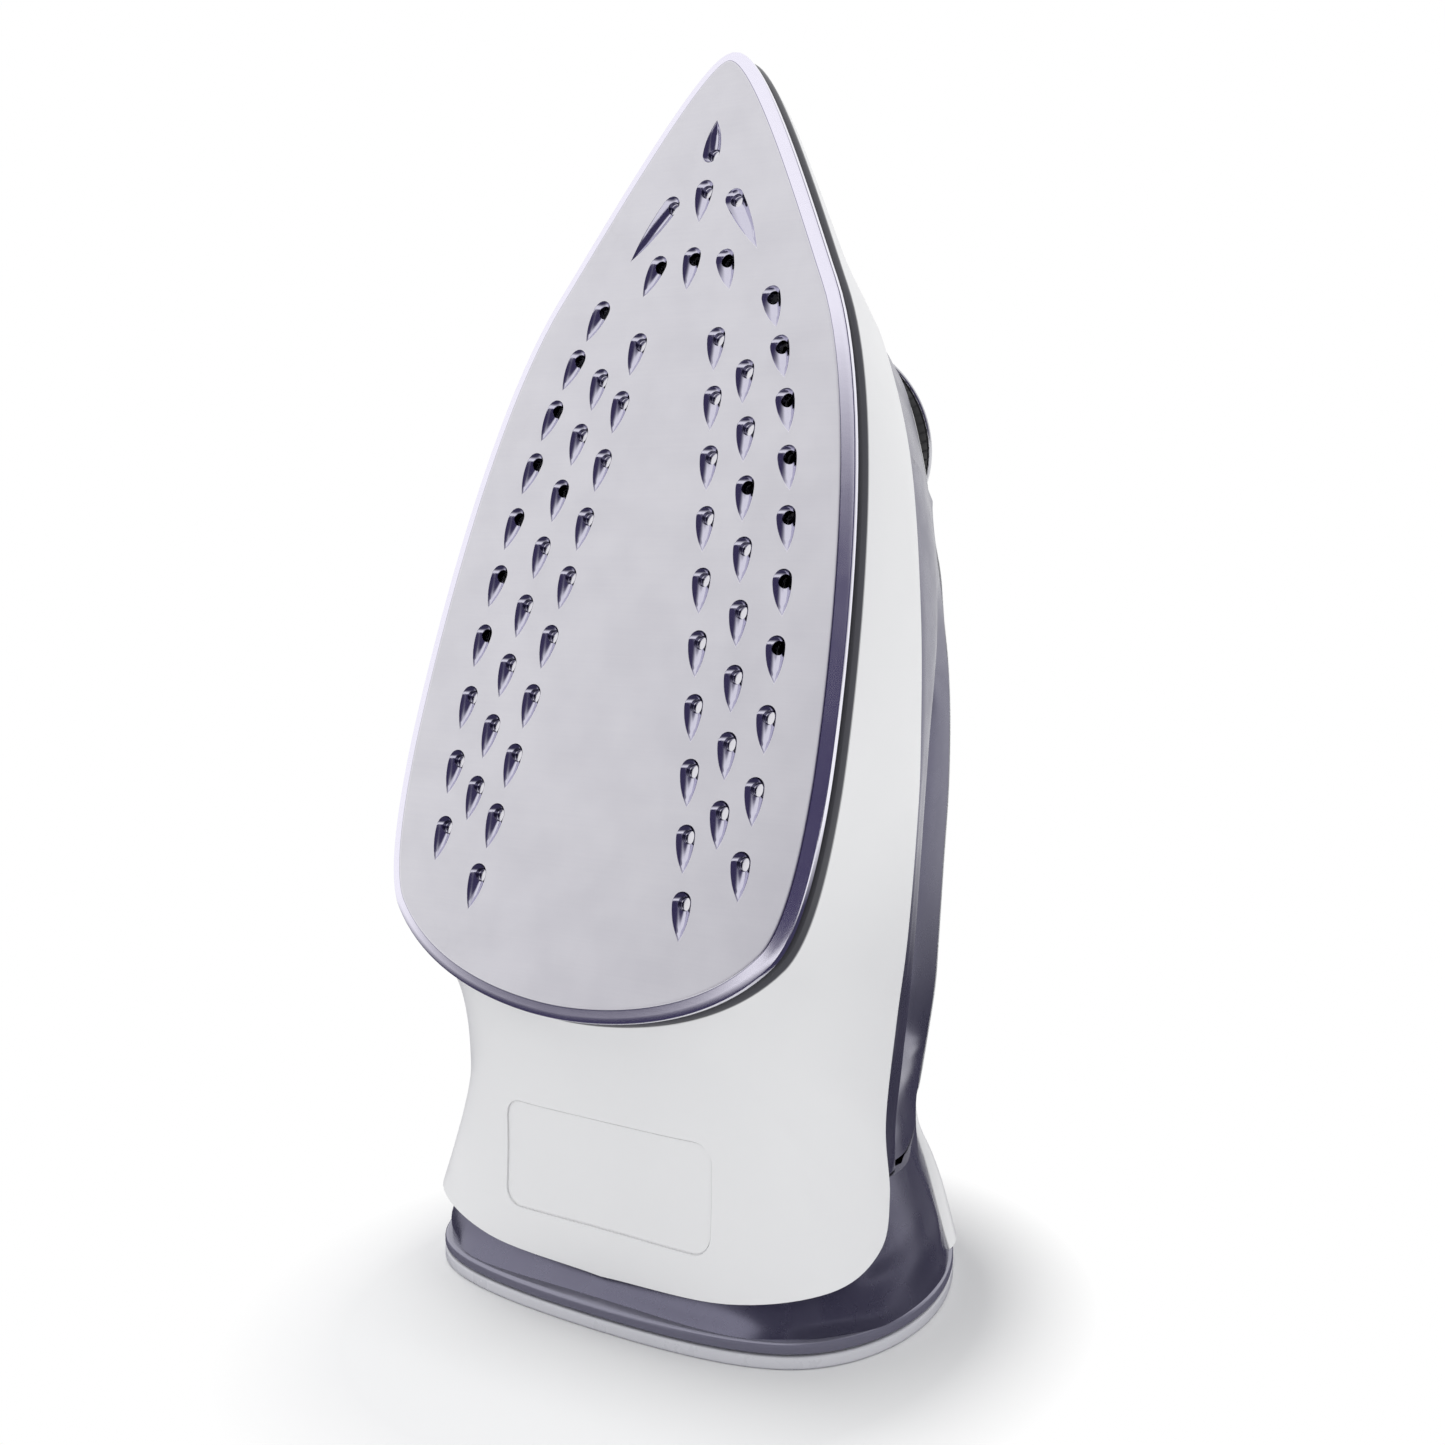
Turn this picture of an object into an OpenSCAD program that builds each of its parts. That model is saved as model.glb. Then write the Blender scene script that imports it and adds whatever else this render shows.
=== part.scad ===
// Steam iron standing on its heel.
// Every piece is drawn on the lying iron: X runs to the tip, Y across, Z up from the soleplate face.
// stand() then turns the lying iron onto its heel. Lengths are in millimetres.

/* [Stance] */
// Angle that the upright iron leans back from the vertical
lean = 17.6; // [15:0.1:20]
// Distance from the widest point of the soleplate back to the floor under the heel
heel_reach = 136.4; // [128:0.1:146]

/* [Soleplate] */
// Length of the face from its widest point to the tip
sole_front = 174.5; // [160:0.5:190]
// Length of the face from its widest point to the rear edge
sole_rear = 54; // [50:0.5:58]
// Width of the face
sole_w = 114; // [104:0.5:124]
// Width of the bevel around the face
bevel_w = 3; // [1.5:0.1:3.5]
// Height of the bevel
bevel_h = 1; // [0.5:0.1:1.6]
// Height of the upright rim above the bevel
rim_h = 1.8; // [1:0.1:2.4]
// Height of the casting above the face
casting_h = 10.5; // [9:0.1:11]
// Distance from the edge of the face in to the casting's outer wall
casting_inset = 8; // [6:0.5:11]
// Thickness of the casting's outer wall
casting_wall = 4; // [3:0.1:6]
// Thickness of metal under the steam chamber
chamber_floor = 4.2; // [3.8:0.1:5]

/* [Steam vents] */
// Radius of a vent's round end
vent_r = 2.5; // [2:0.1:2.8]
// Length of a vent from its round end to its tail
vent_len = 11; // [8:0.5:12]
// Length of the long vents behind the tip
long_vent_len = 19; // [15:0.5:21]
// Depth of a vent at its round end
vent_depth = 1.6; // [1.2:0.1:2]
// Radius of the hole in a vent
vent_hole_r = 1.6; // [1:0.1:1.8]
// Number of vents in an inner row
inner_vents = 10; // [6:1:10]
// Number of vents in a middle row
middle_vents = 8; // [5:1:8]
// Number of vents in an outer row
outer_vents = 10; // [6:1:10]
// Number of open vents in an outer row, counted from the front
open_vents = 7; // [3:1:10]

/* [Heating and steam] */
// Radius of the heating element's sheath
element_r = 3.2; // [2.5:0.1:3.6]
// Distance between the element's two legs
element_span = 36; // [32:0.5:40]
// Width of the ridge that holds the element
ridge_w = 11; // [9:0.5:13]
// Thickness of the steam chamber's cover
cover_t = 1.4; // [1:0.1:2]
// Thickness of the chamber gasket
gasket_t = 0.5; // [0.4:0.1:1]
// Radius of the screw shafts
screw_r = 1.6; // [1.2:0.1:2]

/* [Skirt] */
// Height of the heat shield's lower edge above the face
shield_z = 2.8; // [2.8:0.1:3.4]
// Height of the dark gap between the soleplate and the skirt
gap_h = 2.2; // [1.5:0.1:3]
// Distance that the skirt stands out past the face
skirt_out = 3.3; // [2.5:0.1:4]
// Thickness of the skirt's wall at its foot
skirt_wall = 2.2; // [1.6:0.1:2.6]
// Thickness of the skirt's wall at its upper edge
skirt_lip = 1.1; // [0.9:0.1:1.4]
// Half width of the label recess
label_half_w = 30; // [22:0.5:33]
// Length of the label recess
label_len = 26; // [18:0.5:28]
// Depth of the label recess
label_depth = 0.4; // [0.2:0.1:0.8]

/* [Body] */
// Height of the lying iron at the handle's upper edge
body_h = 143; // [134:0.5:152]
// Thickness of the tank's wall
tank_wall = 2.4; // [2:0.1:3]
// Thickness of the rear housing's wall
housing_wall = 2.6; // [2:0.1:3.4]
// Thickness of the white top shell
top_wall = 2.4; // [2:0.1:2.8]
// Thickness of the heel plate
heel_plate_t = 3; // [2.4:0.1:4]
// Height of the shadow gap above the heel plate
heel_gap = 0.6; // [0.4:0.1:1]
// Height of the heel's trim ring
heel_trim_h = 2.6; // [2:0.1:3.4]

/* [Temperature dial] */
// Radius of the dial
dial_r = 28; // [24:0.2:29]
// Height of the dial's dark wall
dial_h = 6.6; // [5:0.1:8]
// Height of the silver ring on the dial
dial_ring_h = 2.2; // [1.5:0.1:3]
// Width of the silver ring
dial_ring_w = 3; // [2:0.1:5]
// Radius of the dial's spindle
spindle_r = 3; // [2.2:0.1:3.6]

/* [Buttons] */
// Width of the spray button and of the burst button
button_w = 13; // [10:0.5:14]
// Length of the buttons
button_l = 13; // [10:0.5:14]
// Travel of the buttons
button_travel = 3.5; // [2:0.1:4]
// Travel of the steam slider
slider_travel = 8; // [5:0.5:9]
// Lift of the valve rod over the slider's travel
rod_lift = 2.4; // [1.5:0.1:3]
// Radius of the valve rod
rod_r = 2; // [1.5:0.1:2.4]
// Radius of the pump bodies
pump_r = 6; // [5:0.1:6.4]

/* [Clearances] */
// Radial clearance of a running fit
run_gap = 0.06; // [0.03:0.01:0.1]
// Gap around pieces that move in an opening
move_gap = 0.4; // [0.3:0.05:0.6]
// Gap between shells that meet
seam_gap = 0.2; // [0.1:0.05:0.3]

/* [Hidden] */
$fn = 48;
half_w = sole_w / 2;
rim_z = bevel_h + rim_h;
skirt_z = shield_z + gap_h;
cover_z = casting_h + gasket_t;
cover_top = cover_z + cover_t;

// The rails below are drawn on an iron of these sizes, and fit() stretches them to the sizes above.
REF_FRONT = 174.5;
REF_HEEL = 136.4;
REF_HALF = 57;
REF_H = 143;
lean_share = tan(lean) / tan(17.6);
function fit_x(x) = x * (x > 0 ? sole_front / REF_FRONT : heel_reach / REF_HEEL);
function fit_y(y) = y * half_w / REF_HALF;
function fit_z(z) = z * body_h / REF_H;
function fit(p) = [fit_x(p.x), fit_y(p.y), fit_z(p.z)];

// Curves -------------------------------------------------------------------------------------------

function mix(a, b, t) = a + (b - a) * t;
function flip_y(p) = [p.x, -p.y, p.z];
function bez(p, t) = pow(1 - t, 3) * p[0] + 3 * pow(1 - t, 2) * t * p[1] + 3 * (1 - t) * t * t * p[2]
  + pow(t, 3) * p[3];
function catmull(a, b, c, d, t) = 0.5 * (2 * b + (c - a) * t + (2 * a - 5 * b + 4 * c - d) * t * t
  + (3 * b - a - 3 * c + d) * t * t * t);

// Item i of a list of rings or points, carried on in a straight line past its ends.
function item(list, i) = i < 0 ? 2 * list[0] - list[1]
  : i >= len(list) ? 2 * list[len(list) - 1] - list[len(list) - 2] : list[i];

// The list with its curve cut into steps parts between each two items.
function smooth(list, steps) = concat([for (i = [0:len(list) - 2], k = [0:steps - 1])
  catmull(item(list, i - 1), list[i], list[i + 1], item(list, i + 2), k / steps)], [list[len(list) - 1]]);

// A skin over rings of equal length. loop joins the last ring to the first.
module skin(rings, loop = false) {
  n = len(rings);
  m = len(rings[0]);
  bands = loop ? n : n - 1;
  sides = [for (i = [0:bands - 1], j = [0:m - 1])
    let (a = i * m + j, b = i * m + (j + 1) % m,
      c = ((i + 1) % n) * m + (j + 1) % m, d = ((i + 1) % n) * m + j)
    each [[a, c, b], [a, d, c]]];
  caps = loop ? [] : [[for (j = [0:m - 1]) j], [for (j = [m - 1:-1:0]) (n - 1) * m + j]];
  polyhedron([for (r = rings) each r], concat(sides, caps), convexity = 8);
}

// A closed ring in the plane x = s + k z, from a half section of [y, z] points that runs from the
// lower middle to the upper middle.
function ring(s, k, half) = let (
  left = [for (p = half) [fit_x(s + lean_share * k * p.y), -fit_y(p.x), fit_z(p.y)]],
  n = len(left))
  concat(left, [for (i = [n - 2:-1:1]) flip_y(left[i])]);

// A half section drawn in by a wall of thickness w all round.
function inset(half, w) = let (
  widest = max([for (p = half) p.x]),
  low = min([for (p = half) p.y]),
  high = max([for (p = half) p.y]),
  mid = (low + high) / 2)
  [for (p = half) [p.x * (1 - w / widest), mid + (p.y - mid) * (1 - 2 * w / (high - low))]];

// Outline of the soleplate -------------------------------------------------------------------------

// Four curves from the tip to the middle of the rear edge, as shares of the two lengths and of the width.
SOLE_CURVES = [
  [[1, 0], [1, 0.13], [0.731, 0.535], [0.659, 0.654]],
  [[0.659, 0.654], [0.473, 0.961], [0.057, 1], [0, 1]],
  [[0, 1], [-0.36, 1], [-0.574, 0.965], [-0.667, 0.895]],
  [[-0.667, 0.895], [-0.972, 0.649], [-1, 0.149], [-1, 0]]];

// Point u of the outline, with u from 0 at the tip to 4 at the rear.
function sole_at(u) = let (i = min(3, floor(u)), p = bez(SOLE_CURVES[i], u - i))
  [p.x * (p.x > 0 ? sole_front : sole_rear), p.y * half_w];
function sole_normal(u) = let (d = sole_at(min(4, u + 0.01)) - sole_at(max(0, u - 0.01)), l = norm(d))
  u < 0.005 ? [1, 0] : u > 3.995 ? [-1, 0] : [d.y, -d.x] / l;
function rim_at(u, out) = sole_at(u) + out * sole_normal(u);
function both_sides(half) = concat(half, [for (i = [len(half) - 2:-1:1]) [half[i].x, -half[i].y]]);
SOLE_STEPS = 9;
// Outline grown outwards by a small distance.
function rim_loop(out) = both_sides([for (i = [0:4 * SOLE_STEPS]) rim_at(i / SOLE_STEPS, out)]);
// Outline drawn in by a large distance, with its tip drawn in further than its sides.
function inner_loop(d) = both_sides([for (i = [0:4 * SOLE_STEPS]) let (p = sole_at(i / SOLE_STEPS))
  [p.x * (1 - (p.x > 0 ? 2.1 * d / sole_front : d / sole_rear)), p.y * (1 - d / half_w)]]);
function lift(points, z) = [for (p = points) [p.x, p.y, z]];

// Rails of the skirt -------------------------------------------------------------------------------

// Places u along the soleplate's outline, with the skirt's middle and its upper edge there.
SKIRT_U = [0, 0.25, 0.5, 0.75, 1, 1.25, 1.5, 1.75, 2, 2.5, 3, 3.25, 3.4, 3.5, 3.6, 3.75, 4];
SKIRT_MIDDLE = [[171, 0, 19], [163, 9.5, 20], [146.5, 20, 20], [128.5, 31.6, 17], [114.5, 40.2, 16],
  [85, 51.3, 18.5], [49.5, 57.3, 21], [18, 60.1, 24], [0, 60.6, 26], [-24.5, 59.3, 28.5], [-40, 56, 31],
  [-56, 50.5, 31], [-64.5, 48.3, 29.8], [-69.5, 45, 28], [-73, 38, 25.5], [-75, 22, 24], [-75.5, 0, 23.8]];
SKIRT_TOP = [[157, 0, 27.5], [151, 7.5, 28], [138, 18.5, 27], [123, 30.5, 25.5], [112, 40, 25],
  [84.5, 50, 29.8], [49, 56, 35.8], [17.5, 58.7, 41.3], [-1, 59.2, 44.7], [-26, 57.5, 51.8],
  [-45, 55.3, 57],
  [-68, 54.5, 61], [-84, 58, 61.8], [-96, 60.3, 56.5], [-105, 57.5, 41.5], [-112.5, 35, 35.8],
  [-114.5, 0, 36]];
SKIRT_STEPS = 2;
skirt_u = smooth(SKIRT_U, SKIRT_STEPS);
skirt_mid = [for (p = smooth(SKIRT_MIDDLE, SKIRT_STEPS)) fit(p)];
skirt_top = [for (p = smooth(SKIRT_TOP, SKIRT_STEPS)) fit(p)];
skirt_n = len(skirt_u) - 1;
foot_h = 2;

// Point on the skirt's outside: i counts along the rails, v runs from the foot to the upper edge.
function skirt_at(i, v) = let (
  p = rim_at(min(4, max(0, skirt_u[i])), skirt_out),
  foot = [p.x, p.y, skirt_z + foot_h],
  bend = 2 * skirt_mid[i] - (foot + skirt_top[i]) / 2)
  pow(1 - v, 2) * foot + 2 * (1 - v) * v * bend + v * v * skirt_top[i];
function unit(v) = v / norm(v);
// Outward direction of the skirt at that point.
function skirt_normal(i, v) = let (
  a = i < skirt_n ? skirt_at(i + 1, v) : flip_y(skirt_at(i - 1, v)),
  b = i > 0 ? skirt_at(i - 1, v) : flip_y(skirt_at(i + 1, v)),
  up = skirt_at(i, min(1, v + 0.02)) - skirt_at(i, max(0, v - 0.02)))
  unit(cross(a - b, up));
SKIRT_V = [0, 0.25, 0.5, 0.75, 1];
function skirt_inside(i, v) = skirt_at(i, v) - mix(skirt_wall, skirt_lip, v) * skirt_normal(i, v);
function skirt_section(i) = let (u = min(4, max(0, skirt_u[i])),
  out = rim_at(u, skirt_out - 1), in = rim_at(u, skirt_out - skirt_wall))
  concat([for (v = SKIRT_V) skirt_inside(i, v)],
    [for (k = [len(SKIRT_V) - 1:-1:0]) skirt_at(i, SKIRT_V[k])],
    [[out.x, out.y, skirt_z], [in.x, in.y, skirt_z]]);

// Rails of the tank, the handle, the rear housing and the top shell --------------------------------

// [s, k, half section of the tank] in front of the handle's foot, from the nose back.
TANK_FRONT = [
  [154, 0, [[0, 22], [2.6, 22], [3.8, 23.2], [4.2, 25.6], [3.9, 27.2], [3.2, 28.4], [2.2, 29.1],
    [1.1, 29.5], [0, 29.6]]],
  [148, 0, [[0, 21], [7, 21], [9.2, 22.3], [9.6, 25.8], [9, 29], [7.6, 31.6], [5.6, 33.6],
    [2.9, 34.6], [0, 34.9]]],
  [140, 0, [[0, 20.5], [12, 20.5], [15, 22], [15.5, 25.4], [14.6, 30.5], [12.8, 35.5], [9.6, 39.2],
    [4.9, 41], [0, 41.5]]],
  [130, 0, [[0, 20.5], [19, 20.5], [23.2, 22], [24.2, 24.8], [22.8, 33], [20.4, 41.5],
    [16.5, 47.3], [8.6, 50], [0, 50.8]]],
  [122, 0, [[0, 20.5], [25, 20.5], [29.3, 22], [30, 24.2], [28, 36], [25, 47], [21, 53],
    [10.5, 54.6], [0, 55]]],
  [116, 0, [[0, 20.5], [29, 20.5], [34, 22], [35.2, 24], [32.2, 38], [29.2, 50], [26.5, 60],
    [13, 60], [0, 60]]],
  [104, 0, [[0, 20.5], [35, 20.5], [40.5, 22], [42, 25.5], [38, 42], [33.7, 56], [29.6, 67.5],
    [15, 67.5], [0, 67.5]]],
  [92, 0, [[0, 20.5], [40, 20.5], [45, 23], [46.5, 28], [42.6, 44], [36.8, 61], [30.8, 75],
    [15, 75], [0, 75]]],
  [86, 0, [[0, 20.5], [42, 20.5], [47, 23], [48.3, 29.5], [44.5, 45], [38.2, 62], [31, 78.7],
    [15, 78.7], [0, 78.7]]]];
// The same under the handle, back to the seam with the rear housing.
TANK_REAR = [
  [85.9, 0, [[0, 20.5], [42, 20.5], [47, 23], [48.3, 29.5], [44.8, 45], [40.6, 57], [36.4, 69],
    [18, 69], [0, 69]]],
  [70, 0, [[0, 20.5], [45, 20.5], [49.6, 23], [50.9, 32], [48.6, 46], [44.5, 59.5], [38.7, 69],
    [19, 69], [0, 69]]],
  [46, 0, [[0, 20.5], [48, 20.5], [52.2, 23], [54.6, 36.7], [53.5, 46], [50, 57.5], [43, 65.5],
    [22, 68.2], [0, 68.8]]],
  [20, 0, [[0, 20.5], [50, 20.5], [54.2, 23], [57, 41], [56, 48.5], [52.5, 56.5], [45, 62.5],
    [23, 66], [0, 67]]],
  [-5, 0, [[0, 20.5], [50, 20.5], [54.7, 23.5], [57.6, 45.8], [56.7, 51.5], [53.8, 58.5], [46, 64],
    [23, 67], [0, 68]]],
  [-26, 0, [[0, 20.5], [46, 20.5], [52.5, 25], [55.9, 51.8], [55.3, 58], [52.4, 65], [45, 69.5],
    [23, 71.5], [0, 72]]],
  [-44, 0.03, [[0, 21], [32, 21], [45, 30], [53.7, 57], [53.3, 63], [51.2, 69.6], [44.5, 73.6],
    [22, 74.8], [0, 75]]],
  [-62, 0.1, [[0, 27], [28, 27], [42.5, 34], [52.8, 58.5], [52.8, 64], [51, 71.5], [46, 76],
    [22, 76.5], [0, 76.5]]],
  [-78, 0.15, [[0, 35], [27, 35], [41, 40], [52.6, 59.5], [52.5, 65.5], [51.3, 72], [47.5, 76.3],
    [23, 76.6], [0, 76.6]]],
  [-93, 0.2, [[0, 44], [28, 44], [43, 47.5], [54.6, 61], [54.6, 66], [53, 72], [50.3, 76.6],
    [25, 76.7], [0, 76.7]]]];
// The handle's navy shell, from its front foot over the grip to its rear foot.
HANDLE = [
  [85.6, 0, [[0, 67.8], [12, 67.8], [24, 67.8], [36.2, 67.8], [35, 71.7], [33.6, 74.2],
    [32.4, 76.4], [31, 78.6], [0, 78.6]]],
  [78, 0, [[0, 67.8], [12, 67.8], [25, 67.8], [37.5, 67.8], [35.8, 73.5], [34, 78], [32, 82.5],
    [29.8, 87], [0, 87]]],
  [70, 0, [[0, 67.8], [13, 67.8], [26, 67.8], [38.5, 67.8], [36, 76], [33.2, 83], [30.3, 90.5],
    [27.8, 97.5], [0, 97.5]]],
  [60, 0, [[0, 67.8], [12, 67.8], [24, 67.8], [36, 67.8], [33.5, 78], [30.5, 87], [28.2, 96.5],
    [26.6, 105.5], [0, 105.5]]],
  [52, 0, [[0, 68], [10, 68], [20, 68.3], [30, 70], [30, 80], [28.5, 91], [27, 102], [25.8, 112],
    [0, 112]]],
  [48, 0, [[0, 80], [9, 80.5], [17, 82.5], [24, 87], [26, 94], [26.3, 101], [25.8, 108],
    [25.3, 114.8], [0, 114.8]]],
  [43, 0, [[0, 91], [8.5, 91.3], [16, 93], [21.5, 96.5], [24.3, 101.5], [25.4, 107], [25.3, 112.5],
    [24.9, 117.8], [0, 117.8]]],
  [34.5, 0, [[0, 97], [8, 97.3], [15, 98.6], [20, 101.5], [23, 106], [24.3, 111.5], [24.4, 117],
    [24, 122.5], [0, 122.5]]],
  [20, 0, [[0, 101.5], [8, 101.8], [14.5, 103], [19.3, 106], [22.2, 110.5], [23.5, 116],
    [23.6, 122], [23.3, 128], [0, 128]]],
  [2, 0, [[0, 105.5], [7.8, 105.8], [14, 107], [18.8, 110], [21.6, 114.5], [22.8, 120],
    [22.9, 126.5], [22.5, 133], [0, 133]]],
  [-20, 0, [[0, 109], [7.8, 109.3], [14, 110.5], [18.7, 113.5], [21.5, 118], [22.6, 124],
    [22.5, 131], [22, 138.3], [0, 138.3]]],
  [-40, 0.05, [[0, 108], [8, 108.3], [14.3, 109.6], [19, 112.7], [21.8, 117.5], [22.9, 124],
    [22.6, 132], [22, 140.5], [0, 140.5]]],
  [-58, 0.1, [[0, 103], [8.5, 103.3], [15, 105], [20, 108.5], [22.8, 114], [23.6, 121],
    [23, 130.5], [21.9, 140.8], [0, 140.8]]],
  [-65, 0.12, [[0, 92], [9, 92.5], [17, 95], [23.5, 100], [26.5, 107], [26.5, 116], [24.5, 128],
    [21.8, 140.9], [0, 140.9]]],
  [-70, 0.135, [[0, 76.2], [10, 76.6], [20, 79], [30, 84], [33.5, 92], [32, 103], [28, 121],
    [21.7, 141], [0, 141]]],
  [-76, 0.15, [[0, 75.8], [14, 75.8], [28, 75.8], [42, 75.8], [42, 84], [38.5, 97], [31, 118],
    [21.6, 141], [0, 141]]],
  [-85, 0.175, [[0, 75.8], [15, 75.8], [31, 75.8], [47, 75.8], [45.2, 86], [40.5, 99], [32, 119],
    [21.6, 140.8], [0, 140.8]]],
  [-93, 0.2, [[0, 75.8], [16, 75.8], [33, 75.8], [49.8, 75.8], [47.5, 86.5], [42.5, 99],
    [33, 119.5], [21.5, 140], [0, 140]]]];
// The rear housing, from the seam back to the trim ring.
HOUSING = [
  [-93.4, 0.2, [[0, 34], [28, 34], [42.8, 38.5], [51, 48.5], [55.1, 61], [52.6, 78], [43.5, 98],
    [33, 119.5], [21.5, 140], [0, 140]]],
  [-103, 0.235, [[0, 35.3], [29, 35.3], [44.8, 40], [53.4, 49], [57.4, 60.5], [56, 77], [47.5, 97],
    [37, 115.5], [27.5, 131], [0, 131]]],
  [-112, 0.265, [[0, 36.8], [31, 36.8], [47.5, 41.5], [56, 49], [59.6, 58.5], [59.3, 76], [52, 96],
    [44.5, 109], [37, 121], [0, 121]]],
  [-119, 0.285, [[0, 37.4], [33, 37.4], [49, 41.4], [56.6, 47.8], [60.4, 57], [61.8, 74], [57, 92],
    [51, 103], [45, 112.5], [0, 112.5]]],
  [-125.5, 0.302, [[0, 37.4], [35, 37.4], [50.5, 41.4], [58, 47.7], [62.3, 57], [63.4, 72.5],
    [61, 87], [57, 97], [52, 105.5], [0, 105.5]]]];
// The last section of the housing, level with the trim ring.
HOUSING_FOOT = [[0, 34.6], [35, 35], [50.8, 42], [58.5, 49.8], [63.4, 59], [64.4, 73],
  [62.4, 86.5], [59.4, 95], [56, 102], [0, 102]];
// The top shell: [s, k, y and z of its edge, z of its crown, rise of its side, share of its flat top].
TOP = [
  [124.2, 0, 4, 54.9, 57.4, 1, 0.6], [123, 0, 12, 55.6, 58.1, 1, 0.8],
  [120.5, 0, 20, 57.2, 59.7, 1.2, 0.9], [116, 0, 26, 60, 62.5, 1.4, 0.92],
  [110, 0, 28.3, 63.8, 66.3, 1.5, 0.94], [102, 0, 29.8, 68.8, 71.3, 1.5, 0.94],
  [94, 0, 30.7, 73.8, 76.3, 1.5, 0.94], [87, 0, 31, 78.1, 80.6, 1.6, 0.94],
  [80, 0, 30.2, 85, 88.6, 2, 0.85], [73.5, 0, 28.6, 93.9, 98.6, 2.6, 0.75],
  [64, 0, 27, 102.4, 107.6, 3, 0.65], [54.5, 0, 26, 110.3, 115.9, 3.2, 0.6],
  [45, 0, 25, 116.9, 122.6, 3.2, 0.58], [34.5, 0, 24, 122.8, 128.6, 3.2, 0.55],
  [20, 0, 23.3, 128.3, 134.2, 3.2, 0.55], [2, 0, 22.5, 133.3, 139.5, 3.2, 0.55],
  [-20, 0, 22, 138.6, 144.4, 3.2, 0.55], [-40, 0.05, 22, 140.8, 146.5, 3.2, 0.55],
  [-65, 0.12, 21.8, 141.2, 147, 3.2, 0.55], [-85, 0.175, 21.6, 141.1, 147, 3.2, 0.55],
  [-93, 0.2, 21.5, 140.3, 146.8, 3.2, 0.55], [-103, 0.235, 27.5, 131.3, 146, 8, 0.55],
  [-112, 0.265, 37, 121.3, 144.8, 12, 0.55], [-119, 0.285, 45, 112.8, 143, 14, 0.55],
  [-125.5, 0.302, 52, 105.8, 140.7, 14, 0.55]];
// The last section of the top shell, level with the trim ring, given like the rows above.
TOP_FOOT = [56, 102.3, 138.6, 13, 0.55];

// Outline of the heel, from the front middle round to the back middle: y, and z on the floor.
HEEL_CURVES = [
  [[0, 33], [30, 33], [44, 36.5], [52, 42.2]],
  [[52, 42.2], [61, 48.9], [65, 60.3], [65, 72.7]],
  [[65, 72.7], [65, 92.7], [55, 111.8], [42, 125.1]],
  [[42, 125.1], [33, 134.7], [15, 140.4], [0, 140.4]]];

// The same places on the standing iron -------------------------------------------------------------

heel_y = fit_z(86.7) / cos(lean) - heel_reach * sin(lean);
function heel_at(u) = let (i = min(3, floor(u)), p = bez(HEEL_CURVES[i], u - i))
  [fit_y(p.x), fit_z(p.y) / cos(lean) - heel_reach * sin(lean) - heel_y];
// The heel's outline drawn in by a small distance.
function heel_loop(d) = let (
  half = [for (i = [0:32]) heel_at(i / 8)],
  near = half[0].y,
  far = half[32].y,
  mid = (near + far) / 2,
  wide = fit_y(65),
  right = [for (p = half) [p.x * (1 - d / wide), mid + (p.y - mid) * (1 - 2 * d / (far - near))]])
  concat(right, [for (i = [31:-1:1]) [-right[i].x, right[i].y]]);
// A ring of the body on the level plane of height h above the floor.
function level_ring(h, half) = let (
  left = [for (p = half) [fit_z(p.y) * tan(lean) - heel_reach + h / cos(lean), -fit_y(p.x), fit_z(p.y)]],
  n = len(left))
  concat(left, [for (i = [n - 2:-1:1]) flip_y(left[i])]);
// Turns the lying iron onto its heel, with the middle of the heel over the origin.
module stand() {
  translate([0, -heel_y, heel_reach * cos(lean)])
    rotate([-lean, 0, 0]) rotate([0, 0, -90]) rotate([0, -90, 0]) children();
}

// Sections of the shells ---------------------------------------------------------------------------

// A list of points or rings with those from first to last smoothed and the others kept.
function soften(list, first, last) = concat([for (i = [0:1:first - 1]) list[i]],
  smooth([for (i = [first:last]) list[i]], 2), [for (i = [last + 1:1:len(list) - 1]) list[i]]);
function rings(rows) = [for (r = rows) ring(r.x, r.y, r.z)];
function softened(rows, first, last) = [for (r = rows) [r.x, r.y, soften(r.z, first, last)]];
// A half section of the room inside a shell that is open at its top.
function channel(half, w) = let (
  widest = max([for (p = half) p.x]),
  low = half[0].y,
  high = half[len(half) - 1].y)
  concat([for (i = [0:len(half) - 2])
      [half[i].x * (1 - w / widest), mix(low + w, high, (half[i].y - low) / (high - low))]],
    [[half[len(half) - 2].x * (1 - w / widest), high + 7], [0, high + 7]]);

module tank_outside() {
  skin(concat(rings(softened(TANK_FRONT, 1, 6)), soften(rings(softened(TANK_REAR, 1, 6)), 1, 6)));
}
module tank_inside() {
  front = [for (i = [1:7]) [TANK_FRONT[i].x, 0, inset(TANK_FRONT[i].z, tank_wall)]];
  step_x = 86 + tank_wall;
  rear = [for (i = [1:8]) [TANK_REAR[i].x, TANK_REAR[i].y, inset(TANK_REAR[i].z, tank_wall)]];
  skin(concat(rings(front), [ring(step_x, 0, inset(TANK_FRONT[8].z, tank_wall))],
    [ring(step_x - 0.1, 0, inset(TANK_REAR[0].z, tank_wall))], rings(rear),
    [ring(-93 + tank_wall, 0.2, inset(TANK_REAR[9].z, tank_wall))]));
}
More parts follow.
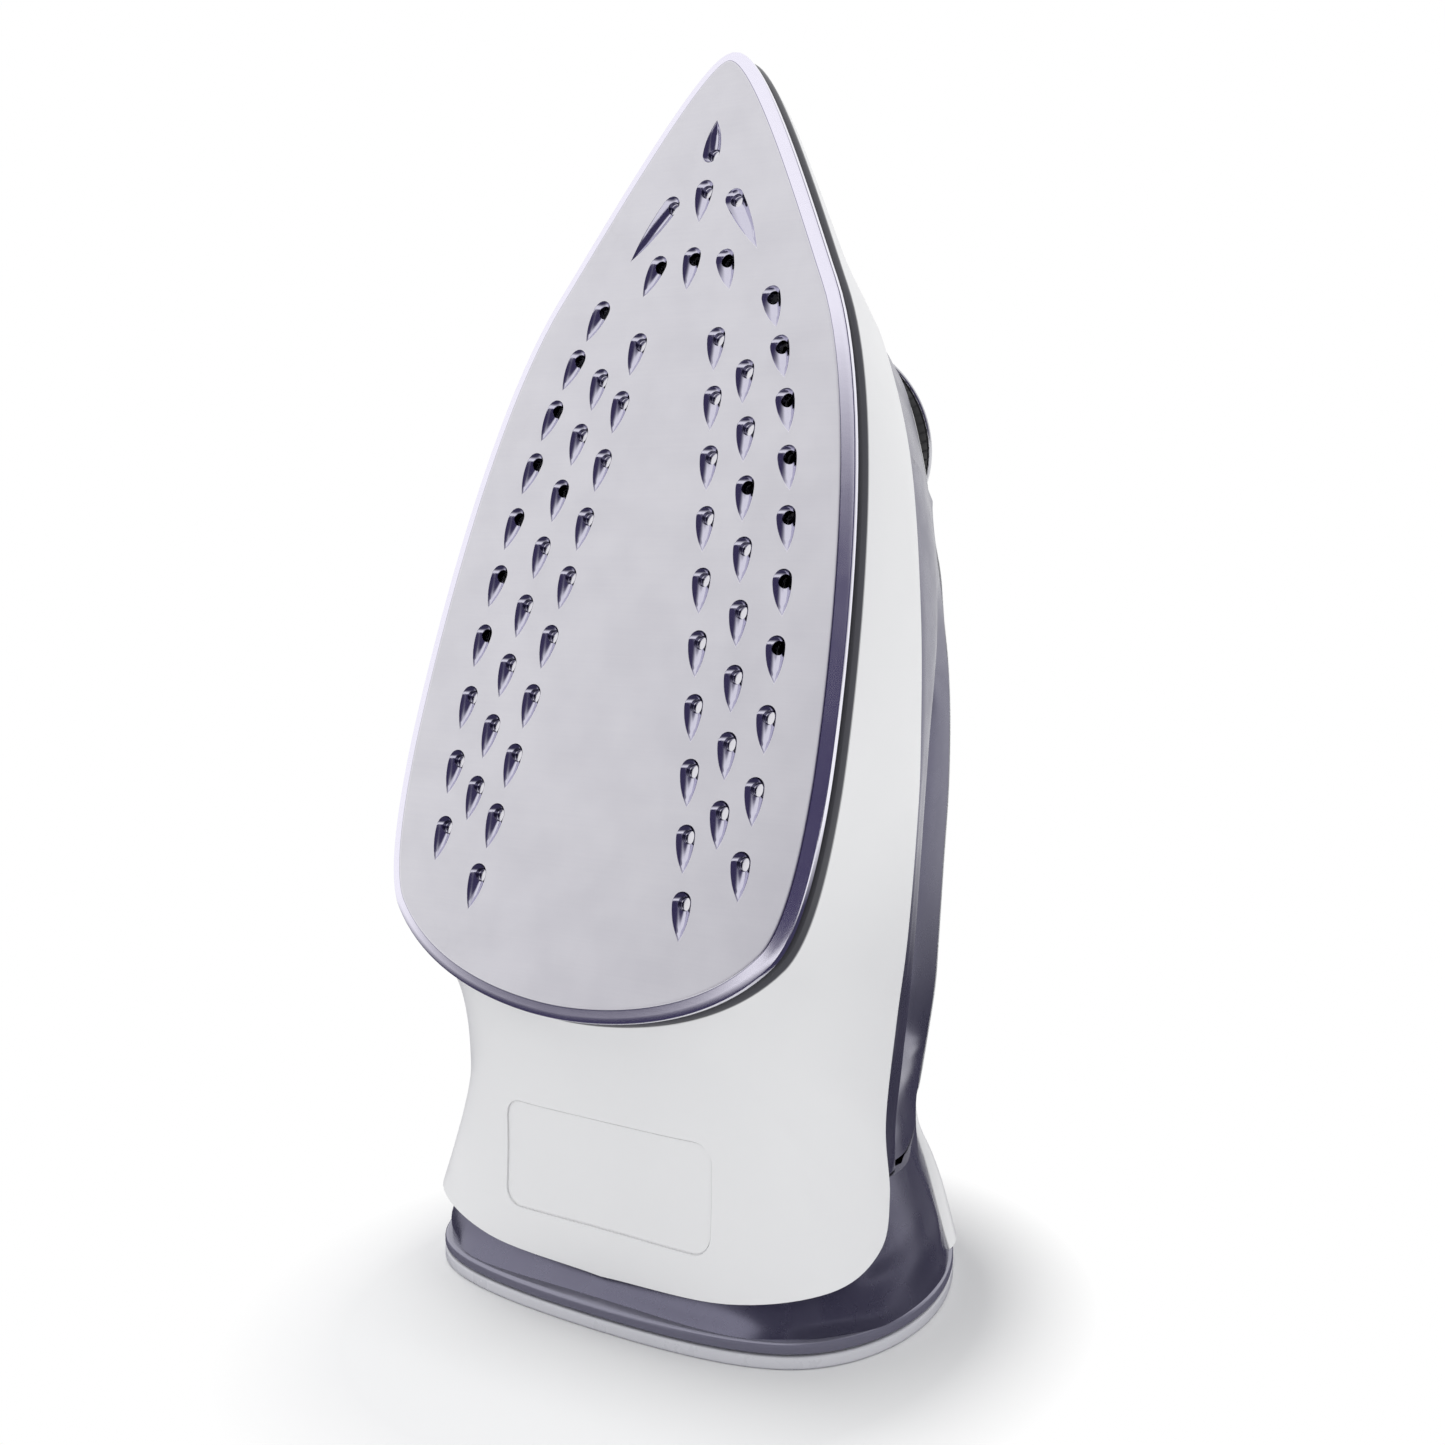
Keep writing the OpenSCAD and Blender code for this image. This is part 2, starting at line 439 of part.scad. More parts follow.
// How far the inside of the handle is moved along, for each of its sections.
HANDLE_SHIFT = [-3, 0, 0, 0.5, 2.2, 2.5, 2.2, 1.2, 0.4, 0, 0, -0.4, -1.2, -2.4, -2.6, -1.4, 0, -1];
module handle_outside() {
  skin(soften(rings(softened(HANDLE, 3, 7)), 6, 13));
}
module handle_inside() {
  skin(rings([for (i = [0:len(HANDLE) - 1])
    [HANDLE[i].x + HANDLE_SHIFT[i], HANDLE[i].y, channel(HANDLE[i].z, top_wall)]]));
}
module housing_outside() {
  foot = level_ring(heel_top, soften(HOUSING_FOOT, 0, 8));
  skin(smooth(concat(rings(softened(HOUSING, 0, 8)), [foot]), 2));
}
module housing_inside() {
  first = [HOUSING[0].x + 2, HOUSING[0].y, channel(HOUSING[0].z, housing_wall)];
  rows = [for (i = [1:4]) [HOUSING[i].x, HOUSING[i].y, channel(HOUSING[i].z, housing_wall)]];
  foot = level_ring(heel_top - 1, channel(HOUSING_FOOT, housing_wall));
  skin(concat(rings(concat([first], rows)), [foot]));
}
// A half section of the top shell: edge at [y, z], crown, rise of the side, share of flat top.
function top_half(y, z, crown, rise, share) = let (
  b = [[y, z + seam_gap], [y, z + seam_gap + rise], [share * y, crown], [0, crown]])
  concat([[0, z + seam_gap]], [for (i = [0:6]) bez(b, i / 6)]);
function top_room(y, z, crown, rise, share) = let (
  b = [[y - top_wall, z - 3], [y - top_wall, z + rise - 0.4], [share * (y - top_wall), crown - top_wall],
    [0, crown - top_wall]])
  concat([[0, z - 3]], [for (t = [0:0.25:1]) bez(b, t)]);
module top_outside() {
  rows = [for (r = TOP) ring(r[0], r[1], top_half(r[2], r[3], r[4], r[5], r[6]))];
  foot = level_ring(heel_top, top_half(TOP_FOOT[0], TOP_FOOT[1], TOP_FOOT[2], TOP_FOOT[3], TOP_FOOT[4]));
  skin(soften(concat(rows, [foot]), 12, 21));
}
module top_inside() {
  rows = [for (i = [9:len(TOP) - 1]) let (r = TOP[i])
    ring(r[0], r[1], top_room(r[2], r[3], r[4], r[5], r[6]))];
  skin(concat(rows, [level_ring(heel_top - 1,
    top_room(TOP_FOOT[0], TOP_FOOT[1], TOP_FOOT[2], TOP_FOOT[3], TOP_FOOT[4]))]));
}

// Places -------------------------------------------------------------------------------------------

heel_top = heel_plate_t + heel_gap + heel_trim_h;
tank_floor = fit_z(20.5);
tank_deck = fit_z(69);
dial_c = fit([101.7, 0, 71.4]);
deck_a = fit([116, 0, 62.5]);
deck_b = fit([94, 0, 76.3]);
dial_tilt = atan2(deck_b.z - deck_a.z, deck_a.x - deck_b.x);
door_a = fit([130, 0, 50.8]);
door_b = fit([140, 0, 41.5]);
door_tilt = atan2(door_a.z - door_b.z, door_b.x - door_a.x);
slide_a = fit([54.5, 0, 115.9]);
slide_b = fit([34.5, 0, 128.6]);
slide_tilt = atan2(slide_b.z - slide_a.z, slide_a.x - slide_b.x);
rod_x = fit_x(56);
button_x = fit_x(67.5);
pump_y = 9;
lamp_c = fit([30, 0, 130.9]);
lamp_tilt = 28;
gland_c = fit([-62, 0, 147]);
gland_r = 8;
tunnel_r = 5.6;
bush_r = tunnel_r - 0.1;
boss_r = 4.2;
seat_r = 3.6;
guide_r = 4;
// Depth along the dial's axis of the thermostat's bore, measured from the dial's foot.
therm_t = (dial_c.z - cover_top - 6) / cos(dial_tilt);
therm_x = dial_c.x - therm_t * sin(dial_tilt);
therm_h = 6.6;
door_w = 10;
door_l = 12.5;
mouth_r = 4.2;
hinge_x = 0.2;
hinge_z = -0.9;
COVER_SCREWS = [[129, 0], [48, 31], [48, -31], [-22, 31], [-22, -31]];
SKIRT_SCREWS = [[128, 12], [128, -12], [4, 40], [4, -40]];
HANDLE_SCREWS = [[79, 24, 71.6, 69], [79, -24, 71.6, 69], [-68, 30, 79.4, 76.6], [-68, -30, 79.4, 76.6]];
HEEL_SCREWS = [[46, 60], [-46, 60], [38, 98], [-38, 98]];

module dial_at() {
  translate(dial_c) rotate([0, dial_tilt, 0]) children();
}
module door_at() {
  translate(door_a) rotate([0, door_tilt, 0]) children();
}
module slide_at() {
  translate(fit([51, 0, 118.2])) rotate([0, slide_tilt, 0]) children();
}
module nozzle_at() {
  translate(fit([149.5, 0, 31])) rotate([0, 72, 0]) children();
}
module lamp_at() {
  translate(lamp_c) rotate([0, lamp_tilt, 0]) children();
}
// Joins the lofted shells and their cuts into one mesh, at its own size.
module joined() {
  resize([0, 0, 0]) children();
}
module tube(r, bore, z0, z1) {
  translate([0, 0, z0]) difference() {
    cylinder(r = r, h = z1 - z0);
    translate([0, 0, -1]) cylinder(r = bore, h = z1 - z0 + 2);
  }
}
module rod(r, z0, z1) {
  translate([0, 0, z0]) cylinder(r = r, h = z1 - z0);
}
module block(x0, x1, y0, y1, z0, z1) {
  translate([x0, y0, z0]) cube([x1 - x0, y1 - y0, z1 - z0]);
}
// The children at each of a list of places.
module at_spots(spots) {
  for (p = spots) translate([fit_x(p.x), fit_y(p.y), 0]) children();
}
// A flat slab over an outline.
module slab(points, z0, z1) {
  translate([0, 0, z0]) linear_extrude(height = z1 - z0) polygon(points);
}
// A screw with its head's seat at z = 0 and its shaft below.
module screw(length, head_r = 3, head_h = 1.8) {
  difference() {
    union() {
      rod(head_r, 0, head_h);
      rod(screw_r, -length, 0.1);
    }
    for (a = [0, 90]) rotate([0, 0, a])
      block(-head_r * 0.6, head_r * 0.6, -0.35, 0.35, head_h - 0.9, head_h + 1);
  }
}
// A round wire along a curve through a list of points.
module wire(points, r) {
  path = smooth(points, 2);
  skin([for (i = [0:len(path) - 1]) let (
    along = unit(item(path, i + 1) - item(path, i - 1)),
    side = unit(cross(along, [0, 1, 0])),
    up = cross(along, side))
    [for (j = [0:5]) path[i] + r * (cos(60 * j) * side + sin(60 * j) * up)]]);
}

// Soleplate and steam chamber ----------------------------------------------------------------------

// A vent is a part of a drop whose axis lies a little outside the face.
vent_ball = (pow(vent_r, 2) + pow(vent_depth, 2)) / (2 * vent_depth);
vent_sink = vent_ball - vent_depth;
// One vent: round at one end and drawn out to a tail at the other, cut into the face.
module vent(x, y, turn = 180, length = vent_len) {
  reach = (length - vent_r) / (1 - vent_sink / vent_ball);
  slope = asin(vent_ball / reach);
  arc = [for (j = [1:3]) let (a = mix(-90, slope, j / 3)) vent_ball * [cos(a), sin(a)]];
  translate([fit_x(x), fit_y(y), -vent_sink]) rotate([0, 0, turn]) rotate([0, 90, 0])
    rotate_extrude($fn = 10) polygon(concat([[0, -vent_ball]], arc, [[0, reach]]));
}
// The third number is the turn of the vent's tail towards the side.
function inner_vent(k) = [102.9 - 130.5 * k / (inner_vents - 1), 11.27 + 18 * k / (inner_vents - 1), 6];
function middle_vent(k) = bez([[94.4, 21, 6], [62.4, 28.5, 6], [28.4, 32.5, 6], [-7.1, 35, 6]], k / (middle_vents - 1));
function outer_vent(k) = bez([[112.1, 24.5, 21], [76.2, 40, 18], [31.5, 44, 4], [-17.5, 42.5, 6]], k / (outer_vents - 1));
// A vent on one side, from its place and turn.
module side_vent(p, side, length = vent_len) {
  vent(p.x, side * p.y, 180 - side * p.z, length);
}
// How far a vent's hole lies in front of the middle of its round end.
vent_hole_shift = 0.4;
// Where the vents are open into the steam chamber, on one side.
OPEN_SPOTS = concat([for (k = [0:open_vents - 1]) outer_vent(k)],
  [middle_vent(2), [122.5, 9.66], [123.8, 0]]);
module vent_holes(r, z0, z1) {
  for (p = OPEN_SPOTS, side = [-1, 1]) if (p.y > 0 || side > 0)
    translate([fit_x(p.x) + vent_hole_shift, fit_y(side * p.y), 0]) rod(r, z0, z1);
}
module vents() {
  for (side = [-1, 1]) {
    for (k = [0:inner_vents - 1]) side_vent(inner_vent(k), side);
    for (k = [0:middle_vents - 1]) side_vent(middle_vent(k), side);
    for (k = [0:outer_vents - 1]) side_vent(outer_vent(k), side);
    side_vent([122.5, 9.66, 20], side);
    side_vent([137.8, 9.2, 34], side, long_vent_len);
  }
  vent(123.8, 0);
  vent(141, 0);
  vent(150.5, 0, turn = 0);
}
leg_y = element_span / 2;
leg_x = fit_x(-28);
element_z = chamber_floor + element_r - 0.6;
bend_r = 6;
// The element's path: two legs, a half turn in front and an upright end behind each leg.
module element_path(r) {
  for (side = [-1, 1]) {
    translate([leg_x, side * leg_y, element_z]) rotate([0, 90, 0]) rod(r, 0, fit_x(70) - leg_x);
    translate([leg_x, side * leg_y, element_z + bend_r]) rotate([90, 0, 0])
      rotate([0, 0, 180]) rotate_extrude(angle = 90) translate([bend_r, 0]) circle(r = r);
  }
  translate([fit_x(70), 0, element_z]) rotate([0, 0, -90]) rotate_extrude(angle = 180)
    translate([leg_y, 0]) circle(r = r);
}
// A band of width w along the element, from the rear at x to the front.
module band(x, w) {
  for (side = [-1, 1]) translate([x, side * leg_y - w / 2]) square([fit_x(70) - x, w]);
  translate([fit_x(70), 0]) intersection() {
    difference() {
      circle(r = leg_y + w / 2);
      circle(r = leg_y - w / 2);
    }
    translate([0, -40]) square([40, 80]);
  }
}
module soleplate() {
  color([0.8, 0.8, 0.83]) stand() joined() difference() {
    skin([lift(rim_loop(0), 0), lift(rim_loop(bevel_w), bevel_h), lift(rim_loop(bevel_w), rim_z)]);
    vents();
    vent_holes(vent_hole_r, 0, rim_z + 1, $fn = 8);
  }
}
module casting() {
  color([0.6, 0.6, 0.62]) stand() difference() {
    slab(inner_loop(casting_inset), rim_z, casting_h);
    difference() {
      slab(inner_loop(casting_inset + casting_wall), chamber_floor, casting_h + 1);
      translate([0, 0, chamber_floor - 0.5]) linear_extrude(height = casting_h) band(fit_x(-52), ridge_w);
      at_spots(COVER_SCREWS) rod(4, chamber_floor - 0.5, casting_h + 2);
    }
    translate([0, 0, element_z - element_r - 0.05]) linear_extrude(height = casting_h)
      band(leg_x - bend_r - element_r - 0.1, 2 * element_r + 0.1);
    vent_holes(vent_hole_r + 0.2, rim_z - 1, chamber_floor + 1);
    at_spots(COVER_SCREWS) rod(screw_r + 0.02, 5, casting_h + 1);
  }
}
module heating_element() {
  color([0.45, 0.45, 0.47]) stand() {
    element_path(element_r);
    for (side = [-1, 1]) translate([leg_x - bend_r, side * leg_y, 0]) {
      rod(element_r, element_z + bend_r - 0.05, cover_top + 1);
      rod(1.2, cover_top + 0.9, cover_top + 4);
    }
  }
}
module chamber_gasket() {
  color([0.55, 0.2, 0.15]) stand() difference() {
    slab(inner_loop(casting_inset + 0.4), casting_h, cover_z);
    slab(inner_loop(casting_inset + casting_wall - 0.4), casting_h - 1, cover_z + 1);
  }
}
module chamber_cover() {
  color([0.7, 0.7, 0.72]) stand() difference() {
    slab(inner_loop(casting_inset + 0.4), cover_z, cover_top);
    at_spots(COVER_SCREWS) rod(screw_r + 0.3, cover_z - 1, cover_top + 1);
    for (side = [-1, 1]) translate([leg_x - bend_r, side * leg_y, 0])
      rod(element_r + 0.5, cover_z - 1, cover_top + 1);
    translate([rod_x, 0, 0]) rod(0.9, cover_z - 1, cover_top + 1);
    translate([button_x, -pump_y, 0]) rod(0.9, cover_z - 1, cover_top + 1);
  }
}
module cover_screws() {
  color([0.6, 0.6, 0.6]) stand()
    for (p = COVER_SCREWS) translate([fit_x(p.x), fit_y(p.y), cover_top]) screw(7);
}
module heat_shield() {
  color([0.08, 0.08, 0.09]) stand() difference() {
    slab(rim_loop(0.8), shield_z, skirt_z + 1.7);
    slab(rim_loop(-1.2), skirt_z, skirt_z + 3);
    slab(inner_loop(casting_inset - 0.5), shield_z - 1, skirt_z + 1);
  }
}

// Thermostat, fuse and drip valve ------------------------------------------------------------------

module thermostat() {
  color([0.85, 0.82, 0.75]) stand() difference() {
    union() {
      block(therm_x - 3.2, therm_x + 17, -6.5, 6.5, cover_top, cover_top + therm_h);
      dial_at() rod(boss_r, -therm_t, -therm_t + 16);
    }
    dial_at() rod(spindle_r + run_gap, -therm_t + 4, -therm_t + 18);
  }
}
module thermal_fuse() {
  color([0.75, 0.75, 0.7]) stand() translate([fit_x(20), 0, cover_top + 2.6]) rotate([90, 0, 0]) {
    rod(1.9, -7, 7);
    rod(0.5, -11, 11);
  }
}
module fuse_clip() {
  color([0.65, 0.6, 0.4]) stand() difference() {
    block(fit_x(20) - 4, fit_x(20) + 4, -3, 3, cover_top, cover_top + 5.4);
    translate([fit_x(20), 0, cover_top + 2.6]) rotate([90, 0, 0]) rod(2, -4, 4);
  }
}
module drip_seat() {
  color([0.7, 0.58, 0.3]) stand() translate([rod_x, 0, 0]) difference() {
    rod(seat_r, cover_top, tank_floor - 1);
    rod(0.9, cover_top - 1, tank_floor);
    rod(rod_r + move_gap, cover_top + 2, tank_floor);
  }
}
module tank_seal() {
  color([0.15, 0.15, 0.16]) stand() translate([rod_x, 0, 0])
    tube(seat_r, rod_r + move_gap, tank_floor - 1, tank_floor - 0.1);
}

// Skirt --------------------------------------------------------------------------------------------

// The recess for a label on the skirt's rear wall: a rounded oblong that follows the wall.
LABEL_SPAN = 14;
label_r = 4.5;
module label_recess() {
  right = [for (i = [skirt_n - LABEL_SPAN:skirt_n]) i];
  intersection() {
    skin([for (v = SKIRT_V) let (
      inner = [for (i = right) skirt_at(i, v) - label_depth * skirt_normal(i, v)],
      outer = [for (i = right) skirt_at(i, v) + 4 * skirt_normal(i, v)])
      concat([for (p = inner) flip_y(p)], [for (k = [LABEL_SPAN - 1:-1:0]) inner[k]],
        [for (k = [0:LABEL_SPAN]) outer[k]], [for (k = [LABEL_SPAN - 1:-1:0]) flip_y(outer[k])])]);
    translate(fit([-91.2, 0, 29.6])) rotate([0, 19.4, 0]) linear_extrude(height = 30, center = true)
      hull() for (x = [-1, 1], y = [-1, 1])
        translate([x * (label_len / 2 - label_r), y * (label_half_w - label_r)])
          circle(r = label_r, $fn = 20);
  }
}

bridge_z = tank_floor - 3;
module skirt() {
  right = [for (i = [0:skirt_n]) skirt_section(i)];
  left = [for (i = [skirt_n - 1:-1:1]) [for (p = right[i]) flip_y(p)]];
  color([0.92, 0.92, 0.93]) stand() difference() {
    union() {
      skin(concat(right, left), loop = true);
      block(fit_x(125.5), fit_x(130.5), -fit_y(29), fit_y(29), bridge_z, tank_floor - seam_gap);
      block(fit_x(0), fit_x(8), -fit_y(59), fit_y(59), bridge_z, tank_floor - seam_gap);
    }
    label_recess();
    at_spots(SKIRT_SCREWS) rod(screw_r + 0.3, bridge_z - 1, tank_floor + 1);
  }
}
module skirt_screws() {
  color([0.6, 0.6, 0.6]) stand() for (p = SKIRT_SCREWS)
    translate([fit_x(p.x), fit_y(p.y), bridge_z]) rotate([180, 0, 0]) screw(9);
}

// Water tank ---------------------------------------------------------------------------------------

module water_tank() {
  $fn = 16;
  color([0.17, 0.16, 0.24]) stand() joined() difference() {
    union() {
      difference() {
        tank_outside();
        tank_inside();
      }
      intersection() {
        dial_at() rod(tunnel_r + 1.6, -therm_t, -3.2);
        block(0, 200, -20, 20, tank_floor, 200);
      }
      translate([rod_x, 0, 0]) rod(rod_r + move_gap + 1.6, tank_floor, tank_deck - 0.5);
      at_spots(SKIRT_SCREWS) rod(4, tank_floor + 0.5, tank_floor + 8);
      for (p = HANDLE_SCREWS) translate([fit_x(p.x), fit_y(p.y), 0])
        rod(4, fit_z(p[3]) - 10, fit_z(p[3]) - 1.4);
      door_at() block(-3, 15, -7.2, 7.2, -5.5, -1.9);
      nozzle_at() rod(4, -6, -1);
    }
    dial_at() rod(tunnel_r, -therm_t - 10, 5, $fn = 24);
    translate([rod_x, 0, 0]) rod(rod_r + move_gap, tank_floor - 1, tank_deck + 1);
    at_spots(SKIRT_SCREWS)
      rod(screw_r + 0.05, tank_floor - 1, tank_floor + 7);
    for (p = HANDLE_SCREWS) translate([fit_x(p.x), fit_y(p.y), 0])
      rod(screw_r + 0.05, fit_z(p[3]) - 9, fit_z(p[3]) + 2);
    door_at() {
      block(-1.3, door_l + move_gap, -door_w / 2 - move_gap, door_w / 2 + move_gap, -2.2, 6);
      translate([7, 0, 0]) rod(mouth_r, -9, 0);
      translate([hinge_x, 0, hinge_z]) rotate([90, 0, 0]) rod(0.65, -6.5, 6.5);
    }
    nozzle_at() rod(2.6, -8, 8);
    translate([button_x, pump_y, 0]) rod(1.3, tank_deck - 6, tank_deck + 2);
    translate([button_x, -pump_y, 0]) rod(1.3, tank_floor - 2, tank_deck + 2);
  }
}
module fill_door() {
  color([0.35, 0.36, 0.45]) stand() door_at() difference() {
    union() {
      block(hinge_x, door_l, -door_w / 2, door_w / 2, -1.5, 0.2);
      translate([hinge_x, 0, hinge_z]) rotate([90, 0, 0]) rod(1.1, -door_w / 2, door_w / 2);
      block(door_l - 2, door_l - 1, -3, 3, 0.1, 0.9);
    }
    translate([hinge_x, 0, hinge_z]) rotate([90, 0, 0]) rod(0.6 + run_gap, -door_w, door_w);
  }
}
module door_pin() {
  color([0.6, 0.6, 0.6]) stand() door_at() translate([hinge_x, 0, hinge_z]) rotate([90, 0, 0])
    rod(0.6, -6.3, 6.3);
}
module fill_seal() {
  color([0.15, 0.15, 0.16]) stand() door_at() translate([7, 0, 0])
    tube(mouth_r + 0.9, mouth_r, -1.95, -1.5);
}
module spray_nozzle() {
  color([0.2, 0.2, 0.22]) stand() nozzle_at() tube(2.5, 0.8, -5, 3.4);
}
module nozzle_tip() {
  color([0.7, 0.58, 0.3]) stand() nozzle_at() tube(1.7, 0.35, 3.4, 4.2);
}

// Rear housing and heel ----------------------------------------------------------------------------

function heel_spot(p) = [fit_y(p.x), fit_z(p.y) / cos(lean) - heel_reach * sin(lean) - heel_y];
module rear_housing() {
  $fn = 20;
  color([0.17, 0.16, 0.24]) {
    joined() difference() {
      union() {
        stand() difference() {
          housing_outside();
          housing_inside();
        }
        for (p = HEEL_SCREWS) translate(heel_spot(p)) {
          rod(4.4, heel_top, heel_top + 16);
          block(p.x > 0 ? 0 : -fit_y(abs(p.x) > 40 ? 10 : 14), p.x > 0 ? fit_y(p.x > 40 ? 10 : 14) : 0,
            -1.2, 1.2, heel_top + 1, heel_top + 15);
        }
      }
      for (p = HEEL_SCREWS) translate(heel_spot(p)) rod(screw_r + 0.02, heel_top - 1, heel_top + 14);
    }
  }
}
module heel_trim() {
  color([0.75, 0.74, 0.8]) difference() {
    union() {
      slab(heel_loop(0), heel_plate_t + heel_gap, heel_top - 0.6);
      slab(heel_loop(0.6), heel_top - 1, heel_top);
    }
    slab(heel_loop(4.6), heel_plate_t, heel_top + 1);
  }
}
module heel_plate() {
  color([0.85, 0.85, 0.88]) difference() {
    union() {
      slab(heel_loop(0.8), 0, 1);
      slab(heel_loop(0), 0.8, heel_plate_t);
      slab(heel_loop(2.4), heel_plate_t - 0.5, heel_plate_t + heel_gap);
      slab(heel_loop(5.2), heel_plate_t, heel_top - 0.6);
    }
    slab(heel_loop(8), heel_plate_t + heel_gap, heel_top + 1);
    for (p = HEEL_SCREWS) translate(heel_spot(p)) {
      rod(screw_r + 0.3, -1, heel_top + 1);
      rod(3.3, -1, 1.4);
    }
  }
}
module heel_screws() {
  color([0.6, 0.6, 0.6]) for (p = HEEL_SCREWS) translate(heel_spot(p)) translate([0, 0, 1.4])
    rotate([180, 0, 0]) screw(heel_top + 10, head_h = 1.2);
}

// Handle -------------------------------------------------------------------------------------------

module handle_shell() {
  $fn = 16;
  color([0.17, 0.16, 0.24]) stand() joined() difference() {
    handle_outside();
    handle_inside();
    block(fit_x(40), fit_x(90), -60, 60, fit_z(50), tank_deck + seam_gap);
    block(fit_x(-96), fit_x(-56), -60, 60, fit_z(50), fit_z(77));
    for (p = HANDLE_SCREWS) translate([fit_x(p.x), fit_y(p.y), 0])
      rod(screw_r + 0.3, fit_z(60), fit_z(p[2]) + 1);
    translate([rod_x, 0, 0]) rod(guide_r + 0.4, fit_z(60), fit_z(80));
    for (side = [-1, 1]) translate([button_x, side * pump_y, 0]) rod(pump_r + 0.3, fit_z(60), fit_z(80));
  }
}
module handle_screws() {
  color([0.6, 0.6, 0.6]) stand() for (p = HANDLE_SCREWS)
    translate([fit_x(p.x), fit_y(p.y), fit_z(p[3]) + 0.2 + top_wall]) screw(10);
}
// The shape of a button or its opening, grown by g.
module button_body(side, g, z0, rise) {
  b0 = button_x - button_l / 2 - g;
  b1 = button_x + button_l / 2 + g;
  t0 = fit_z(crown_at(b0));
  t1 = fit_z(crown_at(b1));
  y0 = side > 0 ? 1.5 - g : -1.5 - button_w - g;
  translate([0, y0 + button_w + 2 * g, 0]) rotate([90, 0, 0]) linear_extrude(height = button_w + 2 * g)
    polygon([[b0, z0], [b1, z0], [b1, t1 + rise], [b0, t0 + rise]]);
}
// Height of the top shell's crown under the buttons.
function crown_at(x) = mix(107.6, 98.6, (x / fit_x(1) - 64) / 9.5);
button_z = fit_z(97);
module top_shell() {
  $fn = 24;
  color([0.93, 0.93, 0.94]) stand() joined() difference() {
    top_outside();
    top_inside();
    dial_at() {
      rod(dial_r + 0.7, 0, 40);
      rod(tunnel_r, -10, 1);
    }
    for (side = [-1, 1]) button_body(side, move_gap, button_z - 20, 30);
    slide_at() block(-4 - slider_travel - move_gap, 4 + move_gap, -3 - move_gap, 3 + move_gap, -12, 12);
    lamp_at() rod(3.1, -10, 10);
    translate([gland_c.x, 0, gland_c.z]) rod(gland_r + 3.1, -20, 10);
  }
}

// Dial ---------------------------------------------------------------------------------------------

module dial_bush() {
  color([0.3, 0.3, 0.32]) stand() dial_at() {
    tube(bush_r, spindle_r + run_gap, -8, 0.3);
    tube(8, spindle_r + run_gap, 0.1, 1.3);
  }
}
module dial_knob() {
  color([0.22, 0.22, 0.23]) stand() dial_at() difference() {
    union() {
      rod(dial_r, 0.4, 0.4 + dial_h - 0.6);
      rod(dial_r - 0.8, 1, 0.4 + dial_h);
    }
    tube(dial_r - 2.2, 6.4, 0, dial_h - 2);
    rod(9, 0, 1.7);
    rod(spindle_r, 0, dial_h - 2);
  }
}
module dial_ring() {
  color([0.7, 0.7, 0.72]) stand() dial_at()
    tube(dial_r - 0.2, dial_r - dial_ring_w, 0.4 + dial_h, 0.4 + dial_h + dial_ring_h);
}
module dial_cap() {
  color([0.85, 0.85, 0.87]) stand() dial_at() {
    rod(dial_r - dial_ring_w - 0.2, 0.4 + dial_h, 1.8 + dial_h);
    block(-18, 18, -2.2, 2.2, 1.6 + dial_h, 4.6 + dial_h);
  }
}
module dial_spindle() {
  color([0.7, 0.7, 0.7]) stand() dial_at() rod(spindle_r, -therm_t + 4.4, dial_h - 2);
}
module spindle_clip() {
  color([0.5, 0.5, 0.5]) stand() dial_at() tube(5, spindle_r, -9.4, -8.4);
}

// Buttons and pumps --------------------------------------------------------------------------------

pump_z = tank_deck + 0.2;
pump_top = tank_deck + 12.5;
module button(side) {
  stand() button_body(side, 0, button_z, 2.5);
}
module pump(side) {
  stand() translate([button_x, side * pump_y, 0]) difference() {
    rod(pump_r, pump_z, pump_top);
    rod(0.9, pump_z - 1, pump_top);
    rod(pump_r - 1.5, pump_z + 1.5, pump_top - 1.5);
    rod(2 + move_gap, pump_z, pump_top + 1);
  }
}
module piston(side) {
  stand() translate([button_x, side * pump_y, 0]) {
    rod(pump_r - 1.5 - run_gap, pump_top - 4.4, pump_top - 2);
    rod(2, pump_top - 2.2, button_z);
  }
}
module spray_button() {
  color([0.3, 0.32, 0.42]) button(1);
}
module burst_button() {
  color([0.3, 0.32, 0.42]) button(-1);
}
module spray_pump() {
  color([0.8, 0.8, 0.78]) pump(1);
}
module burst_pump() {
  color([0.8, 0.8, 0.78]) pump(-1);
}
module spray_piston() {
  color([0.9, 0.9, 0.88]) piston(1);
}
module burst_piston() {
  color([0.9, 0.9, 0.88]) piston(-1);
}
// Small coil springs inside the pumps, under the piston heads.
module pump_springs() {
  color([0.6, 0.6, 0.62]) stand() for (side = [-1, 1]) translate([button_x, side * pump_y, 0])
    skin([for (i = [0:12]) let (a = -60 * i, z = pump_z + 2 + 1.8 * i / 12) [for (j = [0:4])
      let (r = 3.4 + 0.3 * cos(72 * j)) [r * cos(a), r * sin(a), z + 0.3 * sin(72 * j)]]]);
}
module spray_tube() {
  color([0.85, 0.85, 0.82]) stand() wire([[button_x, pump_y, tank_deck], [button_x, pump_y, fit_z(64)],
    [button_x + 1.5, pump_y, fit_z(60)],
    fit([120, 11, 38]), fit([142.3, 0, 29]), fit([144.1, 0, 29.4])], 0.9);
}
module burst_tube() {
  color([0.85, 0.85, 0.82]) stand() translate([button_x, -pump_y, 0])
    tube(1.2, 0.6, cover_top, tank_deck + 0.1);
}

// Steam slider and valve ---------------------------------------------------------------------------

